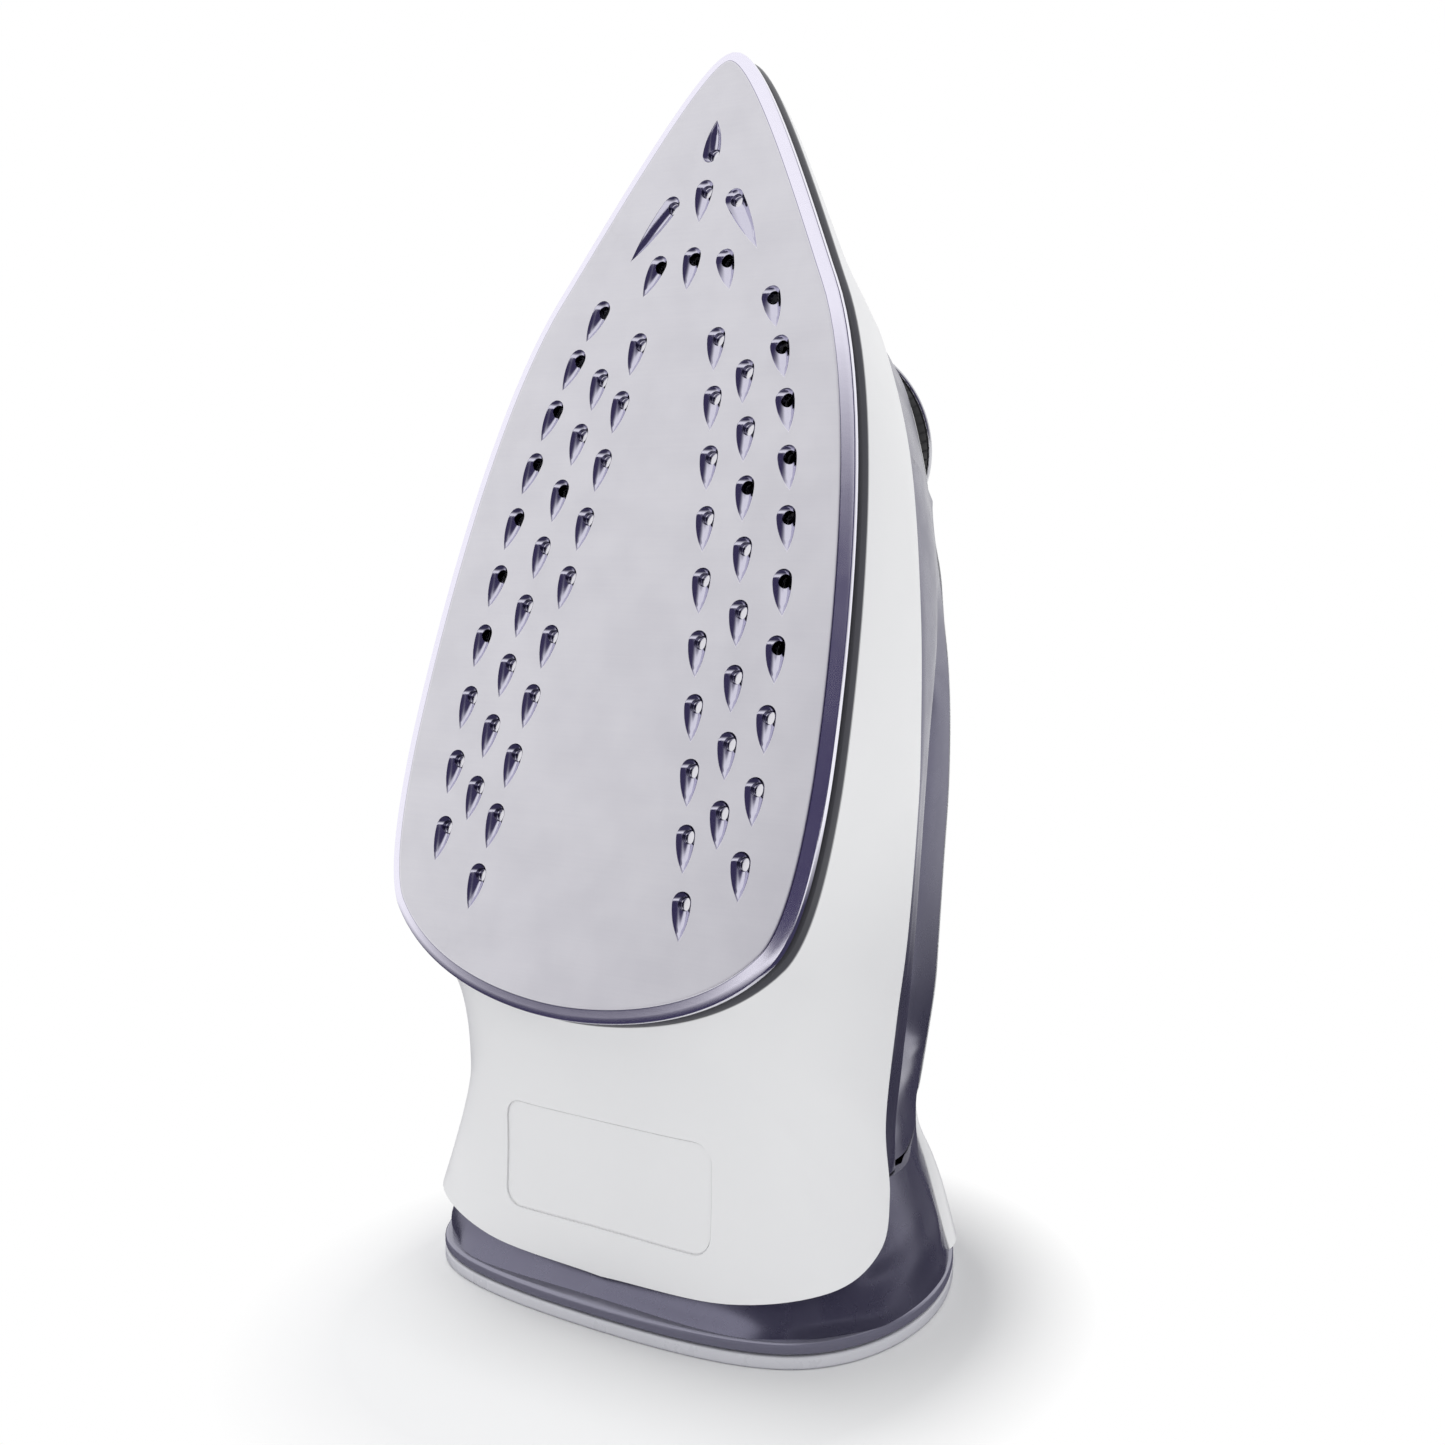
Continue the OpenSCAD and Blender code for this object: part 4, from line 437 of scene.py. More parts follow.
def rounded_box(x0: float, x1: float, y0: float, y1: float, radius: float, steps: int = 6) -> np.ndarray:
    """Outline of an oblong with rounded corners, in order."""
    corners = [(x1 - radius, y1 - radius, 0), (x0 + radius, y1 - radius, 90),
               (x0 + radius, y0 + radius, 180), (x1 - radius, y0 + radius, 270)]
    return np.array([[x + radius * math.cos(math.radians(a + 90 * i / steps)),
                      y + radius * math.sin(math.radians(a + 90 * i / steps))]
                     for x, y, a in corners for i in range(steps + 1)])


def oblong(x0: float, x1: float, y: float) -> np.ndarray:
    """Outline of a plain oblong across the middle plane."""
    return np.array([[x0, -y], [x1, -y], [x1, y], [x0, y]])


def prism(name: str, outline: np.ndarray, z0: float, z1: float, place: Matrix) -> bpy.types.Object:
    """A straight prism over an outline in millimetres, at a place in metres."""
    rings = [level(outline, z) for z in (z0, z1)]
    obj = new_piece(name, np.concatenate(rings) / 1000, band_faces(2, len(outline), False))
    obj.data.transform(place)
    return obj


def rod(r: float, z0: float, z1: float, place: Matrix, steps: int = 64) -> bpy.types.Object:
    """A round tool of radius r from z0 to z1 along an axis."""
    return turned("tool", [[r, z0], [r, z1]], place, steps)


def at(x: float, y: float, z: float, tilt: float = 0.0) -> Matrix:
    """The place of an axis on the lying iron, in millimetres, tilted forwards by an angle in degrees."""
    return (STAND @ Matrix.Translation(Vector((x, y, z)) / 1000)
            @ Matrix.Rotation(math.radians(tilt), 4, "Y"))


def plain_mesh(obj: bpy.types.Object) -> bpy.types.Mesh:
    """The mesh that an object comes to with its modifiers."""
    graph = bpy.context.evaluated_depsgraph_get()
    return bpy.data.meshes.new_from_object(obj.evaluated_get(graph), preserve_all_data_layers=True,
                                           depsgraph=graph)


def settle(obj: bpy.types.Object) -> bpy.types.Object:
    """Turns an object and its modifiers into a plain mesh."""
    mesh = plain_mesh(obj)
    obj.modifiers.clear()
    obj.data = mesh
    mesh.name = obj.name
    return obj


def round_edges(obj: bpy.types.Object, width: float, segments: int, angle: float) -> bpy.types.Object:
    """Rounds the edges of a piece that are sharper than an angle.

    Args:
        obj: Closed piece.
        width: Width of the rounded edges in millimetres.
        segments: Faces across each rounded edge.
        angle: Least angle of a rounded edge, in radians.

    Returns:
        The same piece as a plain mesh.
    """
    bevel = obj.modifiers.new("soft", "BEVEL")
    bevel.width, bevel.segments = width / 1000, segments
    bevel.limit_method, bevel.angle_limit = "ANGLE", angle
    return settle(obj)


def drop(obj: bpy.types.Object) -> None:
    """Removes a tool or a template."""
    bpy.data.objects.remove(obj, do_unlink=True)


def carve(obj: bpy.types.Object, tools: Sequence[bpy.types.Object], how: Cut = Cut.AWAY,
          sharp: float = 30.0) -> bpy.types.Object:
    """Cuts a piece with closed tools, which are used up.

    Args:
        obj: Closed piece.
        tools: Closed tools.
        how: What the tools do.
        sharp: Least angle, in degrees, of an edge that stays crisp.

    Returns:
        The cut piece.
    """
    for tool in tools:
        before = len(obj.data.polygons)
        for solver in ("MANIFOLD", "EXACT"):
            cut = obj.modifiers.new("cut", "BOOLEAN")
            cut.operation, cut.object, cut.solver = how.value, tool, solver
            old = obj.data
            settle(obj)
            if len(obj.data.polygons) not in (0, before):
                break
            obj.data = old
            log.warning("%s: tool %s changed nothing with %s", obj.name, tool.name, solver)
        drop(tool)
    return shade(obj, sharp)


def joined(name: str, pieces: Sequence[bpy.types.Object], sharp: float = 30.0,
           merge: float = 0.0) -> bpy.types.Object:
    """Joins pieces into the first, names it and merges corners closer than a distance in metres."""
    bm = bmesh.new()
    for piece in pieces:
        bm.from_mesh(piece.data)
    first = pieces[0]
    bm.to_mesh(first.data)
    bm.free()
    for piece in pieces[1:]:
        drop(piece)
    first.name = first.data.name = name
    return tidy(first, sharp, merge)


# Shader trees --------------------------------------------------------------------------------------


@dataclass
class Wires:
    """Adds and joins nodes in one tree."""

    tree: bpy.types.NodeTree

    def add(self, kind: str, feeds: Optional[dict] = None, **settings: object) -> bpy.types.Node:
        """Adds a node.

        Args:
            kind: Type of the node.
            feeds: Values or output sockets for its inputs, by name or by place.
            settings: Properties of the node.

        Returns:
            The node.
        """
        node = self.tree.nodes.new(kind)
        for key, value in settings.items():
            setattr(node, key, value)
        for key, value in (feeds or {}).items():
            if isinstance(value, bpy.types.NodeSocket):
                self.tree.links.new(value, node.inputs[key])
            else:
                node.inputs[key].default_value = value
        return node

    def mix(self, share: object, a: object, b: object, kind: str = "MIX") -> bpy.types.NodeSocket:
        """Mixes two colours and returns the result's socket."""
        node = self.add("ShaderNodeMix", {0: share, 6: a, 7: b}, data_type="RGBA", blend_type=kind)
        return node.outputs[2]

    def along(self, where: object, side: Sequence[float]) -> bpy.types.NodeSocket:
        """Returns the socket of how far a place or a direction reaches to one side."""
        return self.add("ShaderNodeVectorMath", {0: where, 1: Vector(side).normalized()},
                        operation="DOT_PRODUCT").outputs["Value"]

    def length(self, where: object) -> bpy.types.NodeSocket:
        """Returns the socket of a vector's length."""
        return self.add("ShaderNodeVectorMath", {0: where}, operation="LENGTH").outputs["Value"]

    def noise(self, where: object, scale: object, detail: float = 2.0, rough: float = 0.5,
              twist: float = 0.0) -> bpy.types.NodeSocket:
        """Adds a noise texture and returns its value's socket."""
        return self.add("ShaderNodeTexNoise", {"Vector": where, "Scale": scale, "Detail": detail,
                                               "Roughness": rough, "Distortion": twist}).outputs[0]

    def choose(self, share: object, a: bpy.types.Node, b: bpy.types.Node) -> bpy.types.Node:
        """Adds the shader that goes from one shader node to another."""
        return self.add("ShaderNodeMixShader", {0: share, 1: a.outputs[0], 2: b.outputs[0]})

    def end(self, kind: str, shader: bpy.types.Node) -> None:
        """Adds an output node of a kind and feeds it with a shader."""
        self.add(kind, {0: shader.outputs[0]})

    def ramp(self, value: object, stops: Sequence[tuple[float, Sequence[float]]]) -> bpy.types.Node:
        """Adds a colour ramp with stops of place and colour."""
        node = self.add("ShaderNodeValToRGB", {0: value})
        marks = node.color_ramp.elements
        marks[0].color, marks[1].color = (*stops[0][1], 1), (*stops[-1][1], 1)
        for spot, colour in stops[1:-1]:
            marks.new(spot).color = (*colour, 1)
        return node

    def span(self, value: object, low: float, high: float, to_low: float,
             to_high: float) -> bpy.types.NodeSocket:
        """Maps a value from one span to another, clamped, and returns the result's socket."""
        node = self.add("ShaderNodeMapRange", {0: value, 1: low, 2: high, 3: to_low, 4: to_high},
                        clamp=True)
        return node.outputs[0]

    def calc(self, a: object, b: object, kind: str = "ADD") -> bpy.types.NodeSocket:
        """Joins two values with a rule of arithmetic and returns the result's socket."""
        return self.add("ShaderNodeMath", {0: a, 1: b}, operation=kind).outputs[0]


def empty_tree(owner: bpy.types.ID) -> Wires:
    """Gives a material or a world an empty node tree and returns its wires."""
    owner.use_nodes = True
    owner.node_tree.nodes.clear()
    return Wires(owner.node_tree)


def new_group(name: str, ins: Sequence[tuple[str, str, float]], outs: Sequence[str]) -> tuple:
    """Starts a shader node group.

    Args:
        name: Name of the group.
        ins: Name, type and starting value of each input.
        outs: Names of the outputs, which are values.

    Returns:
        The group, its wires, its input node and its output node.
    """
    group = bpy.data.node_groups.new(name, "ShaderNodeTree")
    for label, kind, start in ins:
        socket = group.interface.new_socket(name=label, in_out="INPUT", socket_type=f"NodeSocket{kind}")
        if kind == "Float":
            socket.default_value = start
    for label in outs:
        group.interface.new_socket(name=label, in_out="OUTPUT", socket_type="NodeSocketFloat")
    wires = Wires(group)
    return group, wires, wires.add("NodeGroupInput"), wires.add("NodeGroupOutput")


class Effects:
    """Shader node groups that several finishes share. Each is built once."""

    _made: dict[str, bpy.types.NodeTree] = {}

    @classmethod
    def get(cls, name: str) -> bpy.types.NodeTree:
        """Returns a group by name and builds it the first time."""
        if name not in cls._made:
            cls._made[name] = getattr(cls, f"_{name}")()
        return cls._made[name]

    @staticmethod
    def _moulded_skin() -> bpy.types.NodeTree:
        """Fine texture of a moulded surface: grain for bump, slow flow tone and haze for gloss."""
        group, w, start, end = new_group("moulded_skin", [("Place", "Vector", 0), ("Grain", "Float", 900),
                                                          ("Flow", "Float", 14)],
                                         ["Height", "Tone", "Haze"])
        grain = w.noise(start.outputs[0], start.outputs[1], 3.0, 0.55)
        flow = w.noise(start.outputs[0], start.outputs[2], twist=0.4)
        haze = w.noise(start.outputs[0], 85.0, 4.0, 0.6)
        w.tree.links.new(grain, end.inputs[0])
        w.tree.links.new(w.span(flow, 0.3, 0.7, 0, 1), end.inputs[1])
        w.tree.links.new(w.span(haze, 0.35, 0.65, 0, 1), end.inputs[2])
        return group

    @staticmethod
    def _drawn_lines() -> bpy.types.NodeTree:
        """Fine lines along one direction, as brushing or drawing leaves them."""
        group, w, start, end = new_group("drawn_lines", [("Place", "Vector", 0), ("Stretch", "Vector", 0),
                                                         ("Density", "Float", 1)], ["Height", "Tone"])
        place = w.add("ShaderNodeVectorMath", {0: start.outputs[0], 1: start.outputs[1]},
                      operation="MULTIPLY")
        fine = w.noise(place.outputs[0], start.outputs[2], 4.0, 0.7)
        broad = w.noise(start.outputs[0], 22.0)
        w.tree.links.new(fine, end.inputs[0])
        w.tree.links.new(w.span(w.calc(fine, broad), 0.75, 1.25, 0, 1), end.inputs[1])
        return group

    @staticmethod
    def _handling_marks() -> bpy.types.NodeTree:
        """Sparse hairline marks and faint smears that handling leaves on a surface."""
        group, w, start, end = new_group("handling_marks", [("Place", "Vector", 0), ("Amount", "Float", 0.3)],
                                         ["Mask"])
        hair = w.add("ShaderNodeTexWave", {"Vector": start.outputs[0], "Scale": 60.0, "Distortion": 30.0,
                                           "Detail": 3.0, "Detail Scale": 0.6})
        patch = w.noise(start.outputs[0], 30.0, 3.0)
        lines = w.span(hair.outputs[1], 0.985, 1.0, 0, 1)
        spots = w.span(patch, 0.56, 0.7, 0, 1)
        w.tree.links.new(w.calc(w.calc(lines, spots, "MULTIPLY"), start.outputs[1], "MULTIPLY"),
                         end.inputs[0])
        return group


# Where handling marks are: share and tone of the worn colour, and added roughness.
WORN_SHARE, WORN_TONE, WORN_ROUGH = 0.3, 0.7, 0.2


@dataclass(frozen=True)
class Finish:
    """One finish: colours as linear red, green and blue, and what its surface does.

    Attributes:
        name: Name of the material.
        slot: Material slot of the record that it belongs to; not used.
        colour: Main colour.
        shade: Second colour, where the flow tone is high.
        rough: Least and greatest roughness.
        grain: Size of the fine grain, as a noise scale.
        depth: Height of the grain in metres.
        marks: Strength of the handling marks.
        metal: Metallic share.
        coat: Weight of a clear coat.
        specular: Strength of the plain reflection.
        lines: Stretch of the drawn lines, or None.
    """

    name: str
    slot: str
    colour: tuple[float, float, float]
    shade: tuple[float, float, float]
    rough: tuple[float, float] = (0.3, 0.4)
    grain: float = 900.0
    depth: float = 0.00001
    marks: float = 0.3
    metal: float = 0.0
    coat: float = 0.0
    specular: float = 0.5
    lines: Optional[tuple[float, float, float]] = None

    def build(self) -> bpy.types.Material:
        """Returns the material, made the first time it is asked for."""
        found = bpy.data.materials.get(self.name)
        if found:
            return found
        material = bpy.data.materials.new(self.name)
        w = empty_tree(material)
        place = w.add("ShaderNodeTexCoord").outputs["Object"]
        base, rough, height, shader = self.surface(w, place)
        w.tree.links.new(base, shader.inputs["Base Color"])
        w.tree.links.new(rough, shader.inputs["Roughness"])
        bump = w.add("ShaderNodeBump", {"Height": height, "Strength": 0.6, "Distance": self.depth})
        w.tree.links.new(bump.outputs[0], shader.inputs["Normal"])
        w.end("ShaderNodeOutputMaterial", shader)
        return material

    def surface(self, w: Wires, place: bpy.types.NodeSocket) -> tuple:
        """Builds the colour, the roughness, the height and the shader.

        Args:
            w: Wires of the material's tree.
            place: Socket of the object's coordinates.

        Returns:
            Sockets of colour, roughness and height, and the shader node.
        """
        def effect(name: str, setting: str, value: object) -> bpy.types.NodeOutputs:
            """Adds a group of Effects with one setting and returns its outputs."""
            return w.add("ShaderNodeGroup", {"Place": place, setting: value},
                         node_tree=Effects.get(name)).outputs

        skin = effect("moulded_skin", "Grain", self.grain)
        height, tone = skin["Height"], skin["Tone"]
        if self.lines:
            drawn = effect("drawn_lines", "Stretch", self.lines)
            height, tone = drawn["Height"], drawn["Tone"]
        marks = effect("handling_marks", "Amount", self.marks)["Mask"]
        base = w.mix(tone, (*self.colour, 1), (*self.shade, 1))
        worn = [WORN_SHARE * WORN_TONE + (1 - WORN_SHARE) * c for c in self.colour]
        base = w.mix(marks, base, (*worn, 1))
        rough = w.calc(w.span(skin["Haze"], 0, 1, *self.rough), w.calc(marks, WORN_ROUGH, "MULTIPLY"))
        shader = w.add("ShaderNodeBsdfPrincipled", {"Metallic": self.metal, "Coat Weight": self.coat,
                                                    "Coat Roughness": 0.06,
                                                    "Specular IOR Level": self.specular})
        return base, rough, height, shader


@dataclass(frozen=True)
class SoleCoat(Finish):
    """The soleplate's coating: satin on the face, polished in the vents, with a painted highlight on the
    bevel and rim and painted shade in the vents.

    The mesh's zone says where a point lies: 0 on the face, 0.1 on a blind recess's floor, 0.2 in a vent's
    trough, 0.3 on a hole's wall, 0.5 to 0.75 on the bevel, 0.9 to 1 on the rim and 0.5 on the back.
    """

    def surface(self, w: Wires, place: bpy.types.NodeSocket) -> tuple:
        """Builds the colour, the roughness, the height and the shader, with painted highlight and painted
        shade steered by the mesh's zones.
        """
        base, rough, height, shader = super().surface(w, place)
        zone = w.add("ShaderNodeAttribute", attribute_name="zone").outputs["Fac"]
        # Tints by zone: trough and dark are painted shade in the vents' troughs and on the walls of holes and
        # recesses; bevel and the rim's tint are a painted highlight, which also reaches the back.
        face, trough, dark, bevel = (1, 1, 1), (0.86, 0.85, 0.95), (0.16, 0.15, 0.24), (1.2, 1.18, 1.27)
        tint = w.ramp(zone, ((0, face), (0.12, face), (0.2, trough), (0.3, dark), (0.5, bevel),
                             (0.75, bevel), (1, (1.22, 1.22, 1.26))))
        base = w.mix(1.0, base, tint.outputs[0], "MULTIPLY")
        gloss = w.ramp(zone, [(spot, (value,) * 3) for spot, value in
                              ((0, 1), (0.1, 0.36), (0.3, 0.36), (0.6, 0.6), (1, 0.35))])
        return base, w.calc(rough, gloss.outputs[0], "MULTIPLY"), height, shader


@dataclass(frozen=True)
class FootShadeSkin(Finish):
    """White plastic with painted shade: a dark band round the skirt's rolled foot, where it sits under the
    soleplate's rim.

    Attributes:
        foot: Colour of the painted shade band.
        edge: Heights above the sole's face, in metres, between which the band ends.
    """

    foot: tuple[float, float, float] = (0.08, 0.08, 0.09)
    edge: tuple[float, float] = (0.0066, 0.0072)

    def surface(self, w: Wires, place: bpy.types.NodeSocket) -> tuple:
        """Builds the colour, the roughness, the height and the shader, with the foot's painted shade band."""
        base, rough, height, shader = super().surface(w, place)
        face = -(math.cos(LEAN) * FACE_BACK + math.sin(LEAN) * FACE_UP) / 1000
        above = w.along(place, (0, math.cos(LEAN), -math.sin(LEAN)))
        # Painted shade: the skirt is darkened below this height above the sole's face.
        band = w.span(above, face + self.edge[0], face + self.edge[1], 1, 0)
        return w.mix(band, base, (*self.foot, 1)), rough, height, shader


@dataclass(frozen=True)
class Lens(Finish):
    """A tinted see-through lens."""

    def surface(self, w: Wires, place: bpy.types.NodeSocket) -> tuple:
        """Builds a plastic whose light passes through it."""
        base, rough, height, shader = super().surface(w, place)
        shader.inputs["Transmission Weight"].default_value = 0.6
        shader.inputs["IOR"].default_value = 1.49
        return base, rough, height, shader


class Finishes(Enum):
    """Every finish of the iron."""

    # The soleplate's coating, with painted highlight on the bevel and rim and painted shade in the vents.
    SOLE = SoleCoat("sole_coat", "sole_metal", (0.73, 0.72, 0.765), (0.71, 0.7, 0.75), (0.34, 0.4), 1500,
                    0.000006, 0.25, 1.0, lines=(30, 1400, 1400))
    CAST = Finish("cast_alloy", "cast_aluminium", (0.52, 0.52, 0.53), (0.4, 0.4, 0.42), (0.45, 0.65), 1600,
                  0.00006, 0.2, 0.9)
    SHEATH = Finish("element_sheath", "element_steel", (0.3, 0.3, 0.31), (0.2, 0.2, 0.21), (0.35, 0.5), 900,
                    0.00001, 0.3, 1.0, lines=(900, 40, 900))
    GASKET = Finish("red_silicone", "silicone_red", (0.26, 0.035, 0.02), (0.2, 0.025, 0.015), (0.6, 0.75),
                    700, 0.00002)
    SHEET = Finish("sheet_metal", "sheet_steel", (0.5, 0.5, 0.52), (0.42, 0.42, 0.44), (0.25, 0.38), 900,
                   0.000006, 0.4, 1.0, lines=(40, 900, 900))
    SCREW = Finish("plated_screw", "screw_steel", (0.55, 0.55, 0.56), (0.45, 0.45, 0.47), (0.22, 0.36), 1500,
                   0.000008, 0.4, 1.0)
    BLACK = Finish("heat_black", "black_plastic", (0.004, 0.004, 0.006), (0.008, 0.008, 0.01), (0.55, 0.7),
                   1500, 0.00003, 0.1, specular=0.25)
    CERAMIC = Finish("glazed_ceramic", "ceramic", (0.66, 0.6, 0.48), (0.58, 0.52, 0.42), (0.2, 0.35), 500,
                     0.00002)
    BRASS = Finish("turned_brass", "brass", (0.6, 0.4, 0.13), (0.5, 0.32, 0.1), (0.22, 0.36), 900, 0.000008,
                   0.3, 1.0, lines=(60, 60, 1500))
    WHITE = Finish("white_plastic", "white_gloss", (0.88, 0.88, 0.884), (0.86, 0.86, 0.866), (0.3, 0.38),
                   1800, 0.000012, 0.12)
    # The skirt's white plastic, with painted shade on its rolled foot.
    SKIRT = FootShadeSkin("skirt_plastic", "white_gloss", (0.88, 0.88, 0.884), (0.86, 0.86, 0.866),
                       (0.3, 0.38), 1800, 0.000012, 0.12)
    NAVY = Finish("navy_plastic", "navy_gloss", (0.19, 0.185, 0.25), (0.17, 0.165, 0.23), (0.24, 0.32), 1500,
                  0.000006, 0.05, 0.8)
    RUBBER = Finish("black_rubber", "rubber_black", (0.012, 0.012, 0.013), (0.02, 0.02, 0.02), (0.6, 0.8),
                    900, 0.00004)
    LAVENDER = Finish("lavender_trim", "lavender_plastic", (0.3, 0.295, 0.37), (0.275, 0.27, 0.345),
                      (0.2, 0.26), 1200, 0.000004, 0.04, 0.5)
    LIGHT = Finish("pale_plastic", "light_plastic", (0.66, 0.66, 0.7), (0.62, 0.62, 0.66), (0.26, 0.36),
                   1200, 0.00001, 0.2)
    GREY = Finish("grey_plastic", "grey_plastic", (0.07, 0.07, 0.085), (0.06, 0.06, 0.075), (0.45, 0.6),
                  1200, 0.00003)
    CHARCOAL = Finish("charcoal_plastic", "dark_grey_plastic", (0.014, 0.014, 0.015),
                      (0.011, 0.011, 0.012), (0.4, 0.55), 1400, 0.00003, 0.1, specular=0.15)
    SILVER = Finish("silver_plating", "silver_trim", (0.62, 0.62, 0.65), (0.56, 0.56, 0.6), (0.16, 0.26),
                    1200, 0.000005, 0.4, 1.0)
    BUTTON = Finish("slate_plastic", "button_plastic", (0.085, 0.095, 0.165), (0.07, 0.08, 0.145),
                    (0.25, 0.36), 1300, 0.00001, 0.2)
    NATURAL = Finish("natural_plastic", "natural_plastic", (0.62, 0.62, 0.56), (0.56, 0.56, 0.5),
                     (0.4, 0.55), 900, 0.00002)
    TUBE = Finish("soft_tube", "silicone_clear", (0.66, 0.66, 0.6), (0.6, 0.6, 0.55), (0.3, 0.45), 700,
                  0.00001)
    AMBER = Lens("amber_lens", "amber_lens", (0.8, 0.2, 0.02), (0.7, 0.16, 0.015), (0.08, 0.16), 700,
                 0.000004)
    WIRE = Finish("wire_sleeve", "wire_red", (0.34, 0.015, 0.008), (0.28, 0.012, 0.006), (0.4, 0.55), 900,
                  0.00001)


def dress(obj: bpy.types.Object, finish: Finishes) -> None:
    """Gives a whole piece one finish."""
    material = finish.value.build()
    if not obj.data.materials:
        obj.data.materials.append(material)
    for slot in obj.material_slots:
        slot.material = material


def place_piece(obj: bpy.types.Object, finish: Finishes, body: Body, *nodes: str) -> None:
    """Dresses a finished piece, rides it on its body and puts it in place of CAD nodes.

    Args:
        obj: Finished mesh piece.
        finish: Its finish.
        body: Body that it moves with.
        nodes: CAD nodes that it stands for.
    """
    obj.data.materials.clear()
    dress(obj, finish)
    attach(obj, body.value)
    if nodes:
        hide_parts(*nodes)
    log.info("%s: %d faces on %s", obj.name, len(obj.data.polygons), body.value)


# Geometry Nodes ------------------------------------------------------------------------------------


@dataclass
class Pattern:
    """Sets a template mesh on points with Geometry Nodes and turns each copy by the point's turn.

    Attributes:
        name: Name of the pattern.
        template: Mesh object that is repeated.
        size: Scale of each copy.
    """

    name: str
    template: bpy.types.Object
    size: float = 1.0

    def tree(self) -> bpy.types.NodeTree:
        """Builds the tree: points in, copies out, realised and with their material set."""
        name = "set_on_points"
        if name in bpy.data.node_groups:
            return bpy.data.node_groups[name]
        group = bpy.data.node_groups.new(name, "GeometryNodeTree")
        for label, kind in (("Points", "Geometry"), ("Template", "Object"), ("Size", "Float"),
                            ("Finish", "Material")):
            group.interface.new_socket(name=label, in_out="INPUT", socket_type=f"NodeSocket{kind}")
        group.interface.new_socket(name="Copies", in_out="OUTPUT", socket_type="NodeSocketGeometry")
        w = Wires(group)
        start, end = w.add("NodeGroupInput"), w.add("NodeGroupOutput")
        thing = w.add("GeometryNodeObjectInfo", {"Object": start.outputs["Template"]},
                      transform_space="ORIGINAL")
        turn = w.add("GeometryNodeInputNamedAttribute", {"Name": "turn"}, data_type="FLOAT")
        angles = w.add("ShaderNodeCombineXYZ", {"Z": turn.outputs[0]})
        spin = w.add("FunctionNodeEulerToRotation", {0: angles.outputs[0]})
        copies = w.add("GeometryNodeInstanceOnPoints",
                       {"Points": start.outputs["Points"], "Instance": thing.outputs["Geometry"],
                        "Rotation": spin.outputs[0], "Scale": start.outputs["Size"]})
        real = w.add("GeometryNodeRealizeInstances", {0: copies.outputs[0]})
        dressed = w.add("GeometryNodeSetMaterial", {"Geometry": real.outputs[0],
                                                    "Material": start.outputs["Finish"]})
        group.links.new(dressed.outputs[0], end.inputs[0])
        return group

    def make(self, spots: Sequence[tuple[float, float, float, float]], finish: Finishes,
             place: Matrix) -> bpy.types.Object:
        """Makes one plain mesh of all the copies.

        Args:
            spots: X, Y and Z in millimetres and turn in degrees of each copy.
            finish: Their finish.
            place: Where the pattern's own frame is, in metres.

        Returns:
            The plain mesh object, at the origin.
        """
        mesh = bpy.data.meshes.new(self.name)
        mesh.from_pydata([(x / 1000, y / 1000, z / 1000) for x, y, z, _ in spots], [], [])
        turn = mesh.attributes.new("turn", "FLOAT", "POINT")
        turn.data.foreach_set("value", [math.radians(s[3]) for s in spots])
        obj = linked(self.name, mesh)
        nodes = obj.modifiers.new("copies", "NODES")
        nodes.node_group = self.tree()
        keys = {item.name: item.identifier for item in nodes.node_group.interface.items_tree
                if item.in_out == "INPUT"}
        nodes[keys["Template"]] = self.template
        nodes[keys["Size"]] = self.size
        nodes[keys["Finish"]] = finish.value.build()
        settle(obj)
        drop(self.template)
        obj.data.transform(place)
        return obj


# Soleplate -----------------------------------------------------------------------------------------


def sole_at(u: float) -> np.ndarray:
    """Point u of the soleplate's outline, with u from 0 at the tip to 4 at the rear."""
    i = min(3, int(u))
    p = bezier(SOLE_CURVES[i], u - i)
    return np.array([p[0] * (SOLE_FRONT if p[0] > 0 else SOLE_REAR), p[1] * SOLE_HALF])


def rim_at(u: float, out: float) -> np.ndarray:
    """The outline's point u moved outwards."""
    d = sole_at(min(4, u + 0.01)) - sole_at(max(0, u - 0.01))
    normal = np.array([d[1], -d[0]]) / np.linalg.norm(d)
    if u < 0.005:
        normal = np.array([1.0, 0.0])
    if u > 3.995:
        normal = np.array([-1.0, 0.0])
    return sole_at(u) + out * normal


def rim_loop(out: float) -> np.ndarray:
    """The whole outline grown outwards, closed."""
    half = np.array([rim_at(u, out) for u in np.arange(105) / 26])
    return np.concatenate([half, half[-2:0:-1] * [1, -1]])


